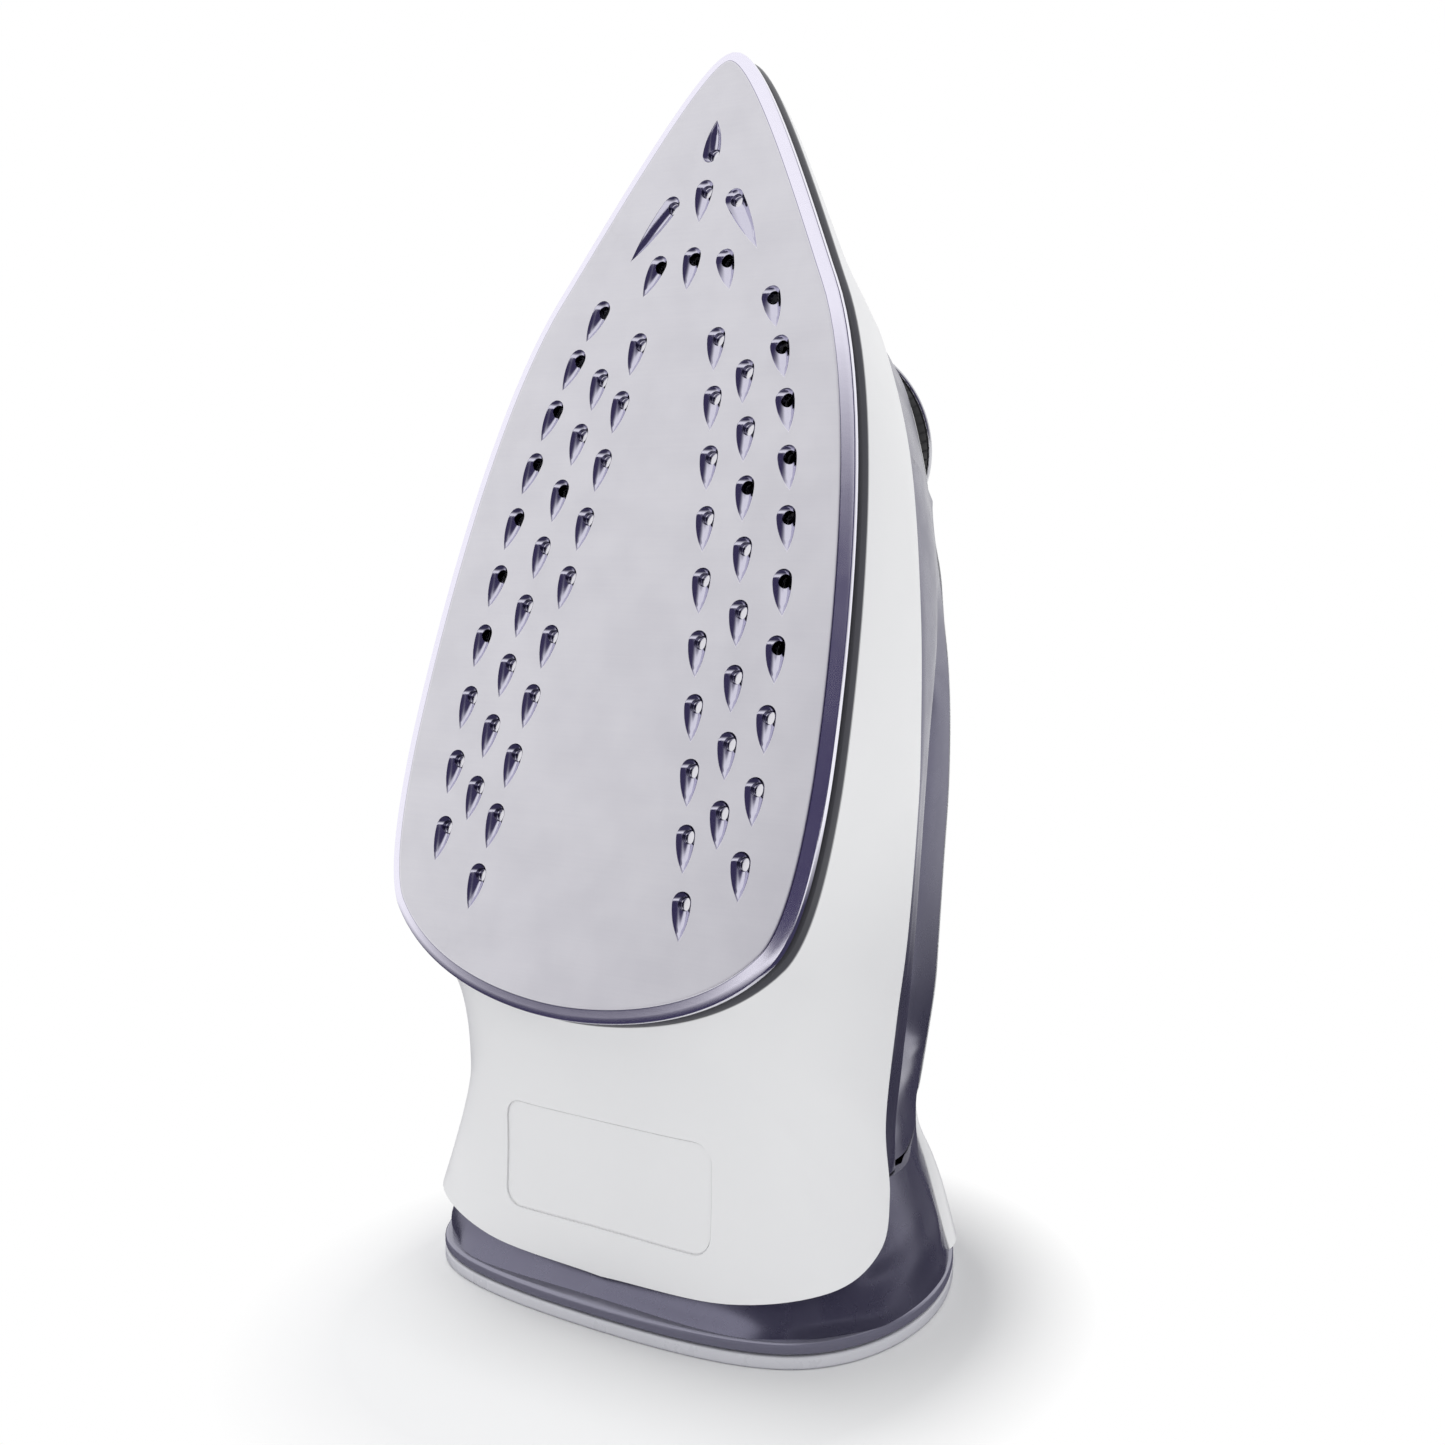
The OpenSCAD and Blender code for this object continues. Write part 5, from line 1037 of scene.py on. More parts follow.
@dataclass(frozen=True)
class Vent:
    """One drop-shaped vent in the face: round at one end and drawn out to a point at the other.

    Attributes:
        length: Length from the round end to the tail.
        open: Whether its hole goes through the metal.
        radius: Radius of the round end.
        depth: Depth under the face.
        hole_at: Place of the hole's middle along the vent.
        hole: Radius of the hole or of the blind recess.
        floor: Depth of the blind recess under the face.
        around: Steps around the vent.
    """

    length: float = 11.0
    open: bool = False
    radius: float = 2.5
    depth: float = 1.6
    hole_at: float = 0.0
    hole: float = 1.6
    floor: float = 2.22
    around: int = 40

    def half_width(self, u: np.ndarray) -> np.ndarray:
        """Half width of the vent at u along it."""
        reach = self.length - self.radius
        arc = (self.radius ** 2 + reach ** 2) / (2 * self.radius)
        front = np.sqrt(np.clip(self.radius ** 2 - np.minimum(u, 0) ** 2, 0, None))
        back = np.sqrt(np.clip(arc ** 2 - np.maximum(u, 0) ** 2, 0, None)) - (arc - self.radius)
        return np.where((u < -self.radius) | (u > reach), 0, np.where(u < 0, front, back))

    def contour(self) -> np.ndarray:
        """Points of its outline as seen from the hole's middle, in order round it."""
        angles = np.arange(self.around) * 2 * math.pi / self.around
        angles = angles - 0.35 * np.sin(angles) * (1 if self.length < 15 else 1.5)
        points = []
        for a in angles:
            low, high = 0.0, self.length
            for _ in range(40):
                mid = (low + high) / 2
                u, v = self.hole_at + mid * math.cos(a), mid * math.sin(a)
                inside = abs(v) < self.half_width(np.array(u)) and -self.radius < u
                low, high = (mid, high) if inside else (low, mid)
            points.append([self.hole_at + low * math.cos(a), low * math.sin(a)])
        return np.array(points)

    def height(self, p: np.ndarray) -> np.ndarray:
        """Depth of the trough at points of the vent."""
        h = np.maximum(self.half_width(p[:, 0]), 1e-6)
        share = np.clip(1 - (p[:, 1] / h) ** 2, 0, 1)
        return self.depth * np.power(h / self.radius, 1.2) * share

    def rings(self) -> list[np.ndarray]:
        """Rings of points from the outline down into the hole or onto the recess's floor."""
        outer = self.contour()
        middle = np.array([self.hole_at, 0.0])
        away = outer - middle
        away /= np.linalg.norm(away, axis=1, keepdims=True)
        hole = middle + away * self.hole
        rings = []
        for t in (0, 0.035, 0.09, 0.17, 0.27, 0.39, 0.52, 0.66, 0.82, 1.0):
            p = outer * (1 - t) + hole * t
            z = np.zeros(len(p)) if t == 0 else self.height(p)
            if t == 0.035:
                z = z * 0.55
            rings.append(np.column_stack([p, z]))
        edge, r, floor = rings[-1][:, 2], self.hole, self.floor
        wall = ((r - 0.06, edge + 0.12), (r - 0.06, 2.2), (r - 0.06, 2.8)) if self.open else (
            (r - 0.05, edge + 0.1), (r - 0.08, floor - 0.12), (r - 0.22, floor - 0.01),
            (r * 0.5, floor + 0.02), (0.06, floor + 0.03))
        for radius, z in wall:
            rings.append(np.column_stack([middle + away * radius, np.broadcast_to(z, len(edge))]))
        return rings

    def template(self) -> bpy.types.Object:
        """The vent's skin as a mesh in its own frame, with its zones."""
        rings = self.rings()
        n, m = len(rings), self.around
        faces = band_faces(n, m, True)[:(n - 1) * m]
        if not self.open:
            faces.append([(n - 1) * m + j for j in range(m)])
        # Zones 0.2 and 0.3 are darkened by the coating as painted shade.
        values = [0.0] + [0.2] * 9 + ([0.3] * 3 if self.open else [0.3, 0.3, 0.1, 0.1, 0.1])
        return zoned("vent", np.concatenate(rings) / 1000, faces, np.repeat(values, m))


@dataclass
class Soleplate:
    """The vented soleplate: a flat face around its vents, a bevel, a rim and a flat back.

    Attributes:
        profile: Outwards distance, height and zone of each step from the face's edge to the back.
        inner: Vents in an inner row.
        inner_row: The row's first X, its length, its first Y, the step in Y and the vents' turn.
        middle: Vents in a middle row.
        middle_curve: Control points of the row.
        middle_open: The row's one open vent, counted from the front.
        middle_turn: Turn of the row's vents.
        outer: Vents in an outer row.
        outer_curve: Control points of the row, each with the vents' turn there.
        open_outer: Open vents of an outer row, counted from the front.
        near_tip: X, Y and turn of the open vent at each side behind the tip.
        long: Length, X, Y and turn of the long vent at each side.
        line: X of the vents on the middle line: an open one, a blind one and a reversed one.
    """

    # Zones from 0.5 upwards get the coating's painted highlight.
    profile: tuple = ((-0.7, 0, 0), (-0.35, 0, 0), (-0.1, 0.03, 0.04), (0.2, 0.14, 0.5), (0.35, 0.2, 0.62),
                      (1.6, 0.6, 0.62), (2.5, 0.92, 0.62), (2.85, 1.12, 0.75), (2.97, 1.35, 0.95),
                      (3.0, 1.6, 1.0), (3.0, 2.3, 1.0), (2.96, 2.65, 0.9), (2.8, 2.8, 0.5))
    inner: int = 10
    inner_row: tuple = (102.9, 130.5, 11.27, 2, 6)
    middle: int = 8
    middle_curve: tuple = ((94.4, 21), (62.4, 28.5), (28.4, 32.5), (-7.1, 35))
    middle_open: int = 2
    middle_turn: float = 6
    outer: int = 10
    outer_curve: tuple = ((112.1, 24.5, 21), (76.2, 40, 18), (31.5, 44, 4), (-17.5, 42.5, 6))
    open_outer: int = 7
    near_tip: tuple = (122.5, 9.66, 20)
    long: tuple = (19, 137.8, 9.2, 34)
    line: tuple = (123.8, 141, 150.5)

    def vents(self) -> list[tuple[Vent, float, float, float]]:
        """Every vent with its place on the face and its turn in degrees."""
        plain, hole, found = Vent(), Vent(open=True), []
        for side in (1, -1):
            def add(vent: Vent, x: float, y: float, turn: float) -> None:
                """Adds a vent whose tail points to the rear and outwards on this side."""
                found.append((vent, x, side * y, 180 - side * turn))

            x, reach, y, step, turn = self.inner_row
            for k in range(self.inner):
                add(plain, x - reach * k / (self.inner - 1), y + step * k, turn)
            for k in range(self.middle):
                p = bezier(self.middle_curve, k / (self.middle - 1))
                add(hole if k == self.middle_open else plain, p[0], p[1], self.middle_turn)
            for k in range(self.outer):
                add(hole if k < self.open_outer else plain, *bezier(self.outer_curve, k / (self.outer - 1)))
            add(hole, *self.near_tip)
            add(Vent(length=self.long[0]), *self.long[1:])
        for vent, x, turn in zip((hole, plain, plain), self.line, (180, 180, 0)):
            found.append((vent, x, 0, turn))
        return found

    def plate(self, outline: np.ndarray, z: float, inside_only: bool) -> bpy.types.Object:
        """A flat sheet inside an outline, with an opening for each vent.

        Args:
            outline: The sheet's outline in millimetres.
            z: Height of the sheet.
            inside_only: Whether only open vents have openings, of their hole's size.

        Returns:
            The sheet as a mesh on the lying iron.
        """
        points = [Vector(p) for p in outline]
        edges = [(i, (i + 1) % len(points)) for i in range(len(points))]
        tests = []
        for vent, x, y, turn in self.vents():
            if inside_only and not vent.open:
                continue
            local = vent.rings()[-1 if inside_only else 0][:, :2]
            c, s = math.cos(math.radians(turn)), math.sin(math.radians(turn))
            start = len(points)
            points += [Vector((x + c * u - s * v, y + s * u + c * v)) for u, v in local]
            edges += [(start + i, start + (i + 1) % len(local)) for i in range(len(local))]
            tests.append((vent, x, y, c, s))
        verts, _, faces, *_ = delaunay_2d_cdt(points, edges, [], 0, 1e-5)
        p = np.array([tuple(v) for v in verts])
        tri = np.array([f for f in faces if len(f) == 3])
        mid = p[tri].mean(1)
        keep = np.ones(len(tri), bool)
        for vent, x, y, c, s in tests:
            dx, dy = mid[:, 0] - x, mid[:, 1] - y
            u, v = c * dx + s * dy, -s * dx + c * dy
            if inside_only:
                keep &= np.hypot(u - vent.hole_at, v) > 1.52
            else:
                keep &= ~((np.abs(v) < vent.half_width(u) - 1e-3) & (u > -vent.radius))
        closed = np.concatenate([outline, outline[:1]])
        count = np.zeros(len(mid), int)
        for (x0, y0), (x1, y1) in zip(closed[:-1], closed[1:]):
            crosses = (y0 > mid[:, 1]) != (y1 > mid[:, 1])
            with np.errstate(divide="ignore", invalid="ignore"):
                hit = mid[:, 0] < (x1 - x0) * (mid[:, 1] - y0) / (y1 - y0) + x0
            count += crosses & hit
        tri = tri[keep & (count % 2 == 1)]
        sheet = zoned("plate", level(p, z) / 1000, tri.tolist(), [0.0 if z == 0 else 0.5] * len(p))
        sheet.data.transform(STAND)
        return sheet

    def rim(self) -> bpy.types.Object:
        """The bevel and the rim round the face."""
        rings = [level(rim_loop(out), z) for out, z, _ in self.profile]
        n, m = len(rings), len(rings[0])
        return zoned("rim", stand(np.concatenate(rings)), band_faces(n, m, True)[:(n - 1) * m],
                     np.repeat([zone for _, _, zone in self.profile], m))

    def build(self) -> None:
        """Builds the soleplate and puts it in place of its CAD node."""
        kinds: dict[Vent, list] = {}
        for vent, x, y, turn in self.vents():
            kinds.setdefault(vent, []).append((x, y, 0.0, turn))
        parts = [self.rim(), self.plate(rim_loop(self.profile[0][0]), 0.0, False),
                 self.plate(rim_loop(self.profile[-1][0]), 2.8, True)]
        for vent, spots in kinds.items():
            parts.append(Pattern("vents", vent.template()).make(spots, Finishes.SOLE, STAND))
        sole = joined("soleplate_coated", parts, 15.0, 2.5e-6)
        place_piece(sole, Finishes.SOLE, Body.IRON, "soleplate")


# Skirt ---------------------------------------------------------------------------------------------


@dataclass
class Skirt:
    """The white skirt with its rolled foot and the label recess behind.

    Attributes:
        steps: Parts between each two rails.
        across: Steps from the foot to the upper edge.
        out: Distance that the foot stands out past the face.
        foot: Height of the foot's lower edge.
        roll: Height of the rolled edge.
        wall: Wall at the foot and at the upper edge.
        label: Half length, half width, corner and depth of the label recess.
        label_at: Place and tilt of the label recess.
        rear_rail: First rail of the rear wall.
    """

    steps: int = 9
    across: int = 18
    out: float = 3.3
    foot: float = 5.0
    roll: float = 2.0
    wall: tuple[float, float] = (2.2, 1.1)
    label: tuple[float, float, float, float] = (13.0, 30.0, 4.5, 0.4)
    label_at: tuple[float, float, float, float] = (-91.2, 0, 29.6, 19.4)
    rear_rail: int = 9

    def grid(self) -> tuple[np.ndarray, np.ndarray, np.ndarray]:
        """Outside points and normals of the right half, and the rails' places on the outline."""
        u = np.clip(smooth([[x] for x in SKIRT_U], self.steps)[:, 0], 0, 4)
        middle, top = smooth(SKIRT_MIDDLE, self.steps), smooth(SKIRT_TOP, self.steps)
        foot = np.array([[*rim_at(x, self.out), self.foot + self.roll] for x in u])
        bend = 2 * middle - (foot + top) / 2
        v = np.linspace(0, 1, self.across + 1)[None, :, None]
        p = (1 - v) ** 2 * foot[:, None] + 2 * (1 - v) * v * bend[:, None] + v * v * top[:, None]
        longer = np.concatenate([p[1:2] * MIRROR, p, p[-2:-1] * MIRROR])
        along = longer[2:] - longer[:-2]
        up = np.gradient(p, axis=1)
        normal = np.cross(along, up)
        return p, normal / np.linalg.norm(normal, axis=-1, keepdims=True), u

    def shell(self) -> bpy.types.Object:
        """The skirt's wall, from inside over the upper edge and down to the rolled foot."""
        p, normal, u = self.grid()
        share = np.linspace(0, 1, self.across + 1)[None, :, None]
        wall = self.wall[0] + (self.wall[1] - self.wall[0]) * share
        inside = p - wall * normal
        lip = [p[:, -1] - 0.3 * normal[:, -1], p[:, -1] * 0.985 + p[:, -2] * 0.015]
        foot = []
        for a in (30, 60, 90):
            out = self.out - 1.3 * (1 - math.cos(math.radians(a)))
            z = self.foot + self.roll * (1 - math.sin(math.radians(a)))
            foot.append(np.array([[*rim_at(x, out), z] for x in u]))
        foot.append(np.array([[*rim_at(x, self.out - self.wall[0]), self.foot] for x in u]))
        right = np.concatenate([inside, np.stack(lip, 1), p[:, -2::-1], np.stack(foot, 1)], axis=1)
        return loft("skirt_shell", list(mirrored(right)), True, 32)

    def recess(self) -> list[bpy.types.Object]:
        """Tools for the label recess along the rear wall: a rounded oblong and the groove round it."""
        p, normal, _ = self.grid()
        first = self.rear_rail * self.steps
        half_l, half_w, corner, depth = self.label
        tools = []
        for deep, grow in ((depth, (0.0,)), (1.6 * depth, (0.15, -0.17))):
            inner, outer = p[first:] - deep * normal[first:], p[first:] + 5 * normal[first:]
            rings = [np.concatenate([inner[:, v] * MIRROR, inner[-2::-1, v], outer[:, v],
                                     outer[-2::-1, v] * MIRROR]) for v in range(self.across + 1)]
            oblongs = [prism("oblong", rounded_box(-half_l - g, half_l + g, -half_w - g, half_w + g,
                                                   corner + g, 10), -15, 15, at(*self.label_at))
                       for g in grow]
            tool = carve(loft("label_tool", rings), oblongs[:1], Cut.WITHIN)
            tools.append(carve(tool, oblongs[1:]))
        return tools

    def build(self) -> None:
        """Builds the skirt with its recess and its two inner bridges."""
        skirt = carve(self.shell(), self.recess(), Cut.AWAY, 32)
        for x0, x1, y in ((125.5, 130.5, 29), (0, 8, 59)):
            bridge = prism("bridge", oblong(x0, x1, y), 17.5, 20.3, STAND)
            carve(skirt, [bridge], Cut.JOINED, 32)
        place_piece(skirt, Finishes.SKIRT, Body.IRON, "skirt")


# Shells of the body --------------------------------------------------------------------------------


DIAL = at(101.7, 0, 71.4, 32.1)
DOOR = at(130, 0, 50.8, 42.92)
SLIDE = at(51, 0, 118.2, 32.42)
LAMP = at(30, 0, 130.9, 28)
GLAND = at(-62, 0, 147)
VALVE = at(56, 0, 0)
PUMPS = (at(67.5, 9, 0), at(67.5, -9, 0))
NOZZLE = at(149.5, 0, 31, 72)
HANDLE_SCREWS = ((79, 24, 71.6), (79, -24, 71.6), (-68, 30, 79.4), (-68, -30, 79.4))


@dataclass
class Shells:
    """The navy tank, handle and rear housing, and the white shell on top of them.

    Attributes:
        fine: Parts between each two sections along the iron.
        round: Parts between each two points of a section.
        tank_wall: Thickness of the tank's wall.
        top_wall: Thickness of the top shell's and the handle's wall.
        housing_wall: Thickness of the rear housing's wall.
    """

    fine: int = 6
    round: int = 5
    tank_wall: float = 2.4
    top_wall: float = 2.4
    housing_wall: float = 2.6

    def rows(self, table: Sequence, first: int, last: int) -> list[np.ndarray]:
        """Rings of a drawing table, smoothed from the first to the last point of each half section."""
        return [ring(s, k, soften(h, first, last, self.round)) for s, k, h in table]

    def tank(self) -> None:
        """The water tank, with its filler, its dial seat and its nozzle bore."""
        halves = [smooth(self.rows(table, 1, 6), self.fine) for table in (TANK_FRONT, TANK_REAR)]
        tank = loft("tank_shell", list(np.concatenate(halves)), sharp=35)
        w = self.tank_wall
        room = [ring(s, k, inset(h, w)) for s, k, h in TANK_FRONT[1:8]]
        room += [ring(86 + w, 0, inset(TANK_FRONT[8][2], w)), ring(85.9 + w, 0, inset(TANK_REAR[0][2], w))]
        room += [ring(s, k, inset(h, w)) for s, k, h in TANK_REAR[1:9]]
        room.append(ring(-93 + w, 0.2, inset(TANK_REAR[9][2], w)))
        mouth = DOOR @ Matrix.Translation((0.007, 0, 0))
        tools = [loft("room", room), rod(5.6, -60, 5, DIAL), rod(2.4, -80, 90, VALVE),
                 prism("pocket", rounded_box(-1.3, 12.9, -5.4, 5.4, 1.2), -2.2, 6, DOOR),
                 rod(4.2, -9, 0, mouth), rod(2.6, -8, 8, NOZZLE), rod(1.3, 60, 72, PUMPS[0]),
                 rod(1.3, 15, 72, PUMPS[1])]
        place_piece(carve(tank, tools, sharp=35), Finishes.NAVY, Body.IRON, "water_tank")

    def handle(self) -> None:
        """The navy handle shell."""
        handle = loft("handle_navy", list(smooth(self.rows(HANDLE, 3, 7), self.fine)), sharp=35)
        room = [ring(s + shift, k, channel(h, self.top_wall))
                for (s, k, h), shift in zip(HANDLE, HANDLE_SHIFT)]
        tools = [loft("room", room),
                 prism("deck", oblong(40, 92, 60), 50, 69.2, STAND),
                 prism("deck", oblong(-98, -56, 60), 50, 77, STAND),
                 rod(4.4, 60, 80, VALVE)]
        tools += [rod(6.3, 60, 80, pump) for pump in PUMPS]
        tools += [rod(1.9, 60, z + 1, at(x, y, 0)) for x, y, z in HANDLE_SCREWS]
        place_piece(carve(handle, tools, sharp=35), Finishes.NAVY, Body.IRON, "handle_shell")

    def housing(self) -> None:
        """The navy rear housing that flares out to the heel."""
        rows = self.rows(HOUSING, 0, 8)
        rows.append(level_ring(HEEL_TOP, soften(HOUSING_FOOT, 0, 8, self.round)))
        housing = loft("housing_navy", list(smooth(rows, self.fine)), sharp=35)
        w = self.housing_wall
        (s, k, h), *others = HOUSING
        room = [ring(s + 2, k, channel(h, w))] + [ring(s, k, channel(h, w)) for s, k, h in others]
        room.append(level_ring(HEEL_TOP - 1, channel(HOUSING_FOOT, w)))
        place_piece(carve(housing, [loft("room", room)], sharp=35), Finishes.NAVY, Body.IRON, "rear_housing")

    def top(self) -> None:
        """The white top shell, with the openings for what works through it."""
        def half(y: float, z: float, crown: float, rise: float, share: float) -> np.ndarray:
            """Half section of the shell from its edge over its crown."""
            b = [[y, z + 0.2], [y, z + 0.2 + rise], [share * y, crown], [0, crown]]
            return np.array([[0, z + 0.2]] + [bezier(b, t) for t in np.linspace(0, 1, 19)])

        def room(y: float, z: float, crown: float, rise: float, share: float) -> np.ndarray:
            """Half section of the room inside."""
            w = self.top_wall
            b = [[y - w, z - 3], [y - w, z + rise - 0.4], [share * (y - w), crown - w], [0, crown - w]]
            return np.array([[0, z - 3]] + [bezier(b, t) for t in np.linspace(0, 1, 7)])

        rows = [ring(r[0], r[1], half(*r[2:])) for r in TOP] + [level_ring(HEEL_TOP, half(*TOP_FOOT))]
        shell = loft("top_white", list(smooth(rows, self.fine)), sharp=35)
        inner = [ring(r[0], r[1], room(*r[2:])) for r in TOP[9:]]
        inner.append(level_ring(HEEL_TOP - 1, room(*TOP_FOOT)))
        tools = [loft("room", inner), rod(28.7, 0, 40, DIAL, 128), rod(5.6, -10, 1, DIAL)]
        for y0 in (1.1, -14.9):
            tools.append(prism("opening", rounded_box(60.6, 74.4, y0, y0 + 13.8, 1.2), 77, 140, STAND))
        tools.append(prism("track", rounded_box(-12.4, 4.4, -3.4, 3.4, 1.5), -12, 12, SLIDE))
        tools += [rod(3.1, -10, 10, LAMP), rod(11.1, -20, 10, GLAND)]
        place_piece(carve(shell, tools, sharp=35), Finishes.WHITE, Body.IRON, "top_shell")

    def build(self) -> None:
        """Builds all four shells."""
        self.tank()
        self.handle()
        self.housing()
        self.top()


# Heel ----------------------------------------------------------------------------------------------


@dataclass
class Heel:
    """The lavender trim ring, the pale heel plate under it and its screws.

    Attributes:
        trim: Inwards distance and height of each step round the trim ring.
        plate: Inwards distance and height of each step of the plate, from its floor upwards.
        screws: Places of the screws.
    """

    trim: tuple = ((4.6, 3.7), (0.35, 3.6), (0.08, 3.75), (0, 4.1), (0, 5.2), (0.06, 5.6), (0.22, 5.92),
                   (0.5, 6.13), (0.9, 6.2), (4.6, 6.2))
    plate: tuple = ((5, 0), (0.8, 0), (0.4, 0.1), (0.12, 0.35), (0, 0.8), (0, 2.3), (0.08, 2.7), (0.35, 2.95),
                    (0.7, 3.0), (2.4, 3.0), (2.4, 3.6), (5.2, 3.6), (5.2, 5.6), (8, 5.6), (8, 3.6), (12, 3.6))
    screws: tuple = ((46, 60), (-46, 60), (38, 98), (-38, 98))

    @staticmethod
    def outline(d: float) -> np.ndarray:
        """The heel's outline on the floor, drawn in by d."""
        half = []
        for u in np.arange(81) / 20:
            k = min(3, int(u))
            p = bezier(HEEL_CURVES[k], u - k)
            half.append([p[0], p[1] / math.cos(LEAN) - HEEL_BACK])
        h = np.array(half)
        near, far = h[0, 1], h[-1, 1]
        middle = (near + far) / 2
        right = np.column_stack([h[:, 0] * (1 - d / HEEL_HALF),
                                 middle + (h[:, 1] - middle) * (1 - 2 * d / (far - near))])
        return np.concatenate([right, right[-2:0:-1] * [-1, 1]])

    def rings(self, steps: tuple) -> list[np.ndarray]:
        """Rings of the outline, one for each step."""
        return [level(self.outline(d), z) for d, z in steps]

    def build(self) -> None:
        """Builds the ring, the plate and the screws."""
        ring_piece = loft("heel_ring", self.rings(self.trim), True, 40, True)
        place_piece(ring_piece, Finishes.LAVENDER, Body.IRON, "heel_trim")
        plate = loft("heel_base", self.rings(self.plate), False, 40, True)
        spots = [(x, z / math.cos(LEAN) - HEEL_BACK) for x, z in self.screws]
        tools = []
        for x, y in spots:
            place = Matrix.Translation((x / 1000, y / 1000, 0))
            tools.append(turned("tool", [[3.3, -1], [3.3, 1.4], [1.9, 1.4], [1.9, 8]], place, 48))
        place_piece(carve(plate, tools, sharp=40), Finishes.LIGHT, Body.IRON, "heel_plate")
        flip = Matrix.Rotation(math.pi, 4, "X")
        shape = [[1.6, -16.2], [1.6, 0], [3, 0], [3, 0.7], [2.6, 1.1], [2.2, 1.2]]
        head = turned("screw", shape, Matrix(), 32)
        cross = [prism("cross", rounded_box(-1.7, 1.7, -0.32, 0.32, 0.1, 2), 0.5, 3,
                       Matrix.Rotation(math.radians(a), 4, "Z")) for a in (0, 90)]
        carve(head, cross)
        copies = Pattern("heel_screws_plated", head).make(
            [(x, -y, -1.4, 20 * i) for i, (x, y) in enumerate(spots)], Finishes.SCREW, flip)
        place_piece(tidy(copies), Finishes.SCREW, Body.IRON, "heel_screws")


# Dial ----------------------------------------------------------------------------------------------


@dataclass
class Dial:
    """The temperature dial: a ribbed charcoal wall, a silver ring and a pale cap with a pointer bar.

    Attributes:
        radius: Radius of the wall.
        wall: Height of the wall.
        ribs: Grip ribs round the wall.
        ticks: Marks on the cap.
        numbers: Plain numbers on the cap.
        sweep: Angle from the first to the last tick, in degrees.
        tick_at: Distance of the ticks from the axis.
        number_at: Distance of the numbers from the axis.
        number_size: Height of the numbers' letters.
    """

    radius: float = 28.0
    wall: float = 7.0
    ribs: int = 72
    ticks: int = 21
    numbers: int = 5
    sweep: float = 260
    tick_at: float = 22.4
    number_at: float = 18.8
    number_size: float = 4.2

    def knob(self) -> None:
        """The wall with its fine grip ribs."""
        r, h = self.radius, self.wall
        profile = [[6.6, 1.75], [9, 1.75], [9, 0.4], [r - 0.9, 0.4], [r - 0.5, 0.5], [r - 0.32, 0.8],
                   [r - 0.3, 1], [r - 0.3, h - 1.1], [r - 0.6, h - 0.5], [r - 0.95, h], [r - 3.2, h],
                   [6.6, h]]
        wall = turned("knob", profile, DIAL, 144, True)
        rib = prism("rib", rounded_box(-0.45, 0.28, -0.34, 0.34, 0.26, 4), 1.3, h - 1.5, Matrix())
        spots = [((r - 0.3) * math.cos(a), (r - 0.3) * math.sin(a), 0, math.degrees(a))
                 for a in np.arange(self.ribs) * 2 * math.pi / self.ribs]
        ribs = Pattern("ribs", rib).make(spots, Finishes.CHARCOAL, DIAL)
        place_piece(joined("dial_wall", [wall, ribs], 35), Finishes.CHARCOAL, Body.DIAL, "dial_knob")

    def ring(self) -> None:
        """The silver ring above a dark groove."""
        r, z = self.radius, self.wall
        profile = [[r - 3, z + 0.1], [r - 0.8, z + 0.1], [r - 0.35, z + 0.25], [r - 0.22, z + 0.6],
                   [r - 0.22, z + 1.5], [r - 0.4, z + 1.9], [r - 0.8, z + 2.15], [r - 1.4, z + 2.2],
                   [r - 2.6, z + 2.2], [r - 3, z + 2]]
        place_piece(turned("dial_silver", profile, DIAL, 160, True), Finishes.SILVER, Body.DIAL, "dial_ring")

    def cap(self) -> None:
        """The cap with its pointer bar."""
        r, z = self.radius - 3.2, self.wall
        profile = [[2, z], [r, z], [r, z + 0.9], [r - 0.25, z + 1.25], [r - 0.7, z + 1.4], [16, z + 1.15],
                   [2, z + 1.15]]
        disc = turned("dial_disc", profile, DIAL, 128)
        bar = prism("bar", rounded_box(-18, 18, -2.2, 2.2, 2.1, 10), z + 0.6, z + 4.2, DIAL)
        round_edges(bar, 0.6, 4, 0.9)
        place_piece(joined("dial_face", [disc, bar], 35), Finishes.LIGHT, Body.DIAL, "dial_cap")

    def scale(self) -> None:
        """Ticks and plain numbers, printed on the cap."""
        z = self.wall + 1.36
        tick = prism("tick", rounded_box(-0.9, 0.9, -0.2, 0.2, 0.1, 2), -0.06, 0.05, Matrix())
        first, step = 180 - self.sweep / 2, self.sweep / self.numbers
        angles = [math.radians(first + self.sweep * i / (self.ticks - 1)) for i in range(self.ticks)]
        spots = [(self.tick_at * math.cos(a), self.tick_at * math.sin(a), z, math.degrees(a)) for a in angles]
        pieces = [Pattern("ticks", tick).make(spots, Finishes.CHARCOAL, DIAL)]
        for i in range(self.numbers):
            a = math.radians(first + step * (i + 0.5))
            text = bpy.data.curves.new("number", "FONT")
            text.body, text.size, text.extrude = str(i + 1), self.number_size / 1000, 0.00006
            text.align_x = text.align_y = "CENTER"
            label = linked("number", text)
            mesh = plain_mesh(label)
            drop(label)
            reach = self.number_at / 1000
            spot = Matrix.Translation((reach * math.cos(a), reach * math.sin(a), (z - 0.12) / 1000))
            mesh.transform(DIAL @ spot @ Matrix.Rotation(a - math.pi / 2, 4, "Z"))
            pieces.append(linked("number", mesh))
        place_piece(joined("dial_scale", pieces, 35), Finishes.CHARCOAL, Body.DIAL)

    def build(self) -> None:
        """Builds the dial's pieces."""
        self.knob()
        self.ring()
        self.cap()
        self.scale()


# Smaller pieces ------------------------------------------------------------------------------------


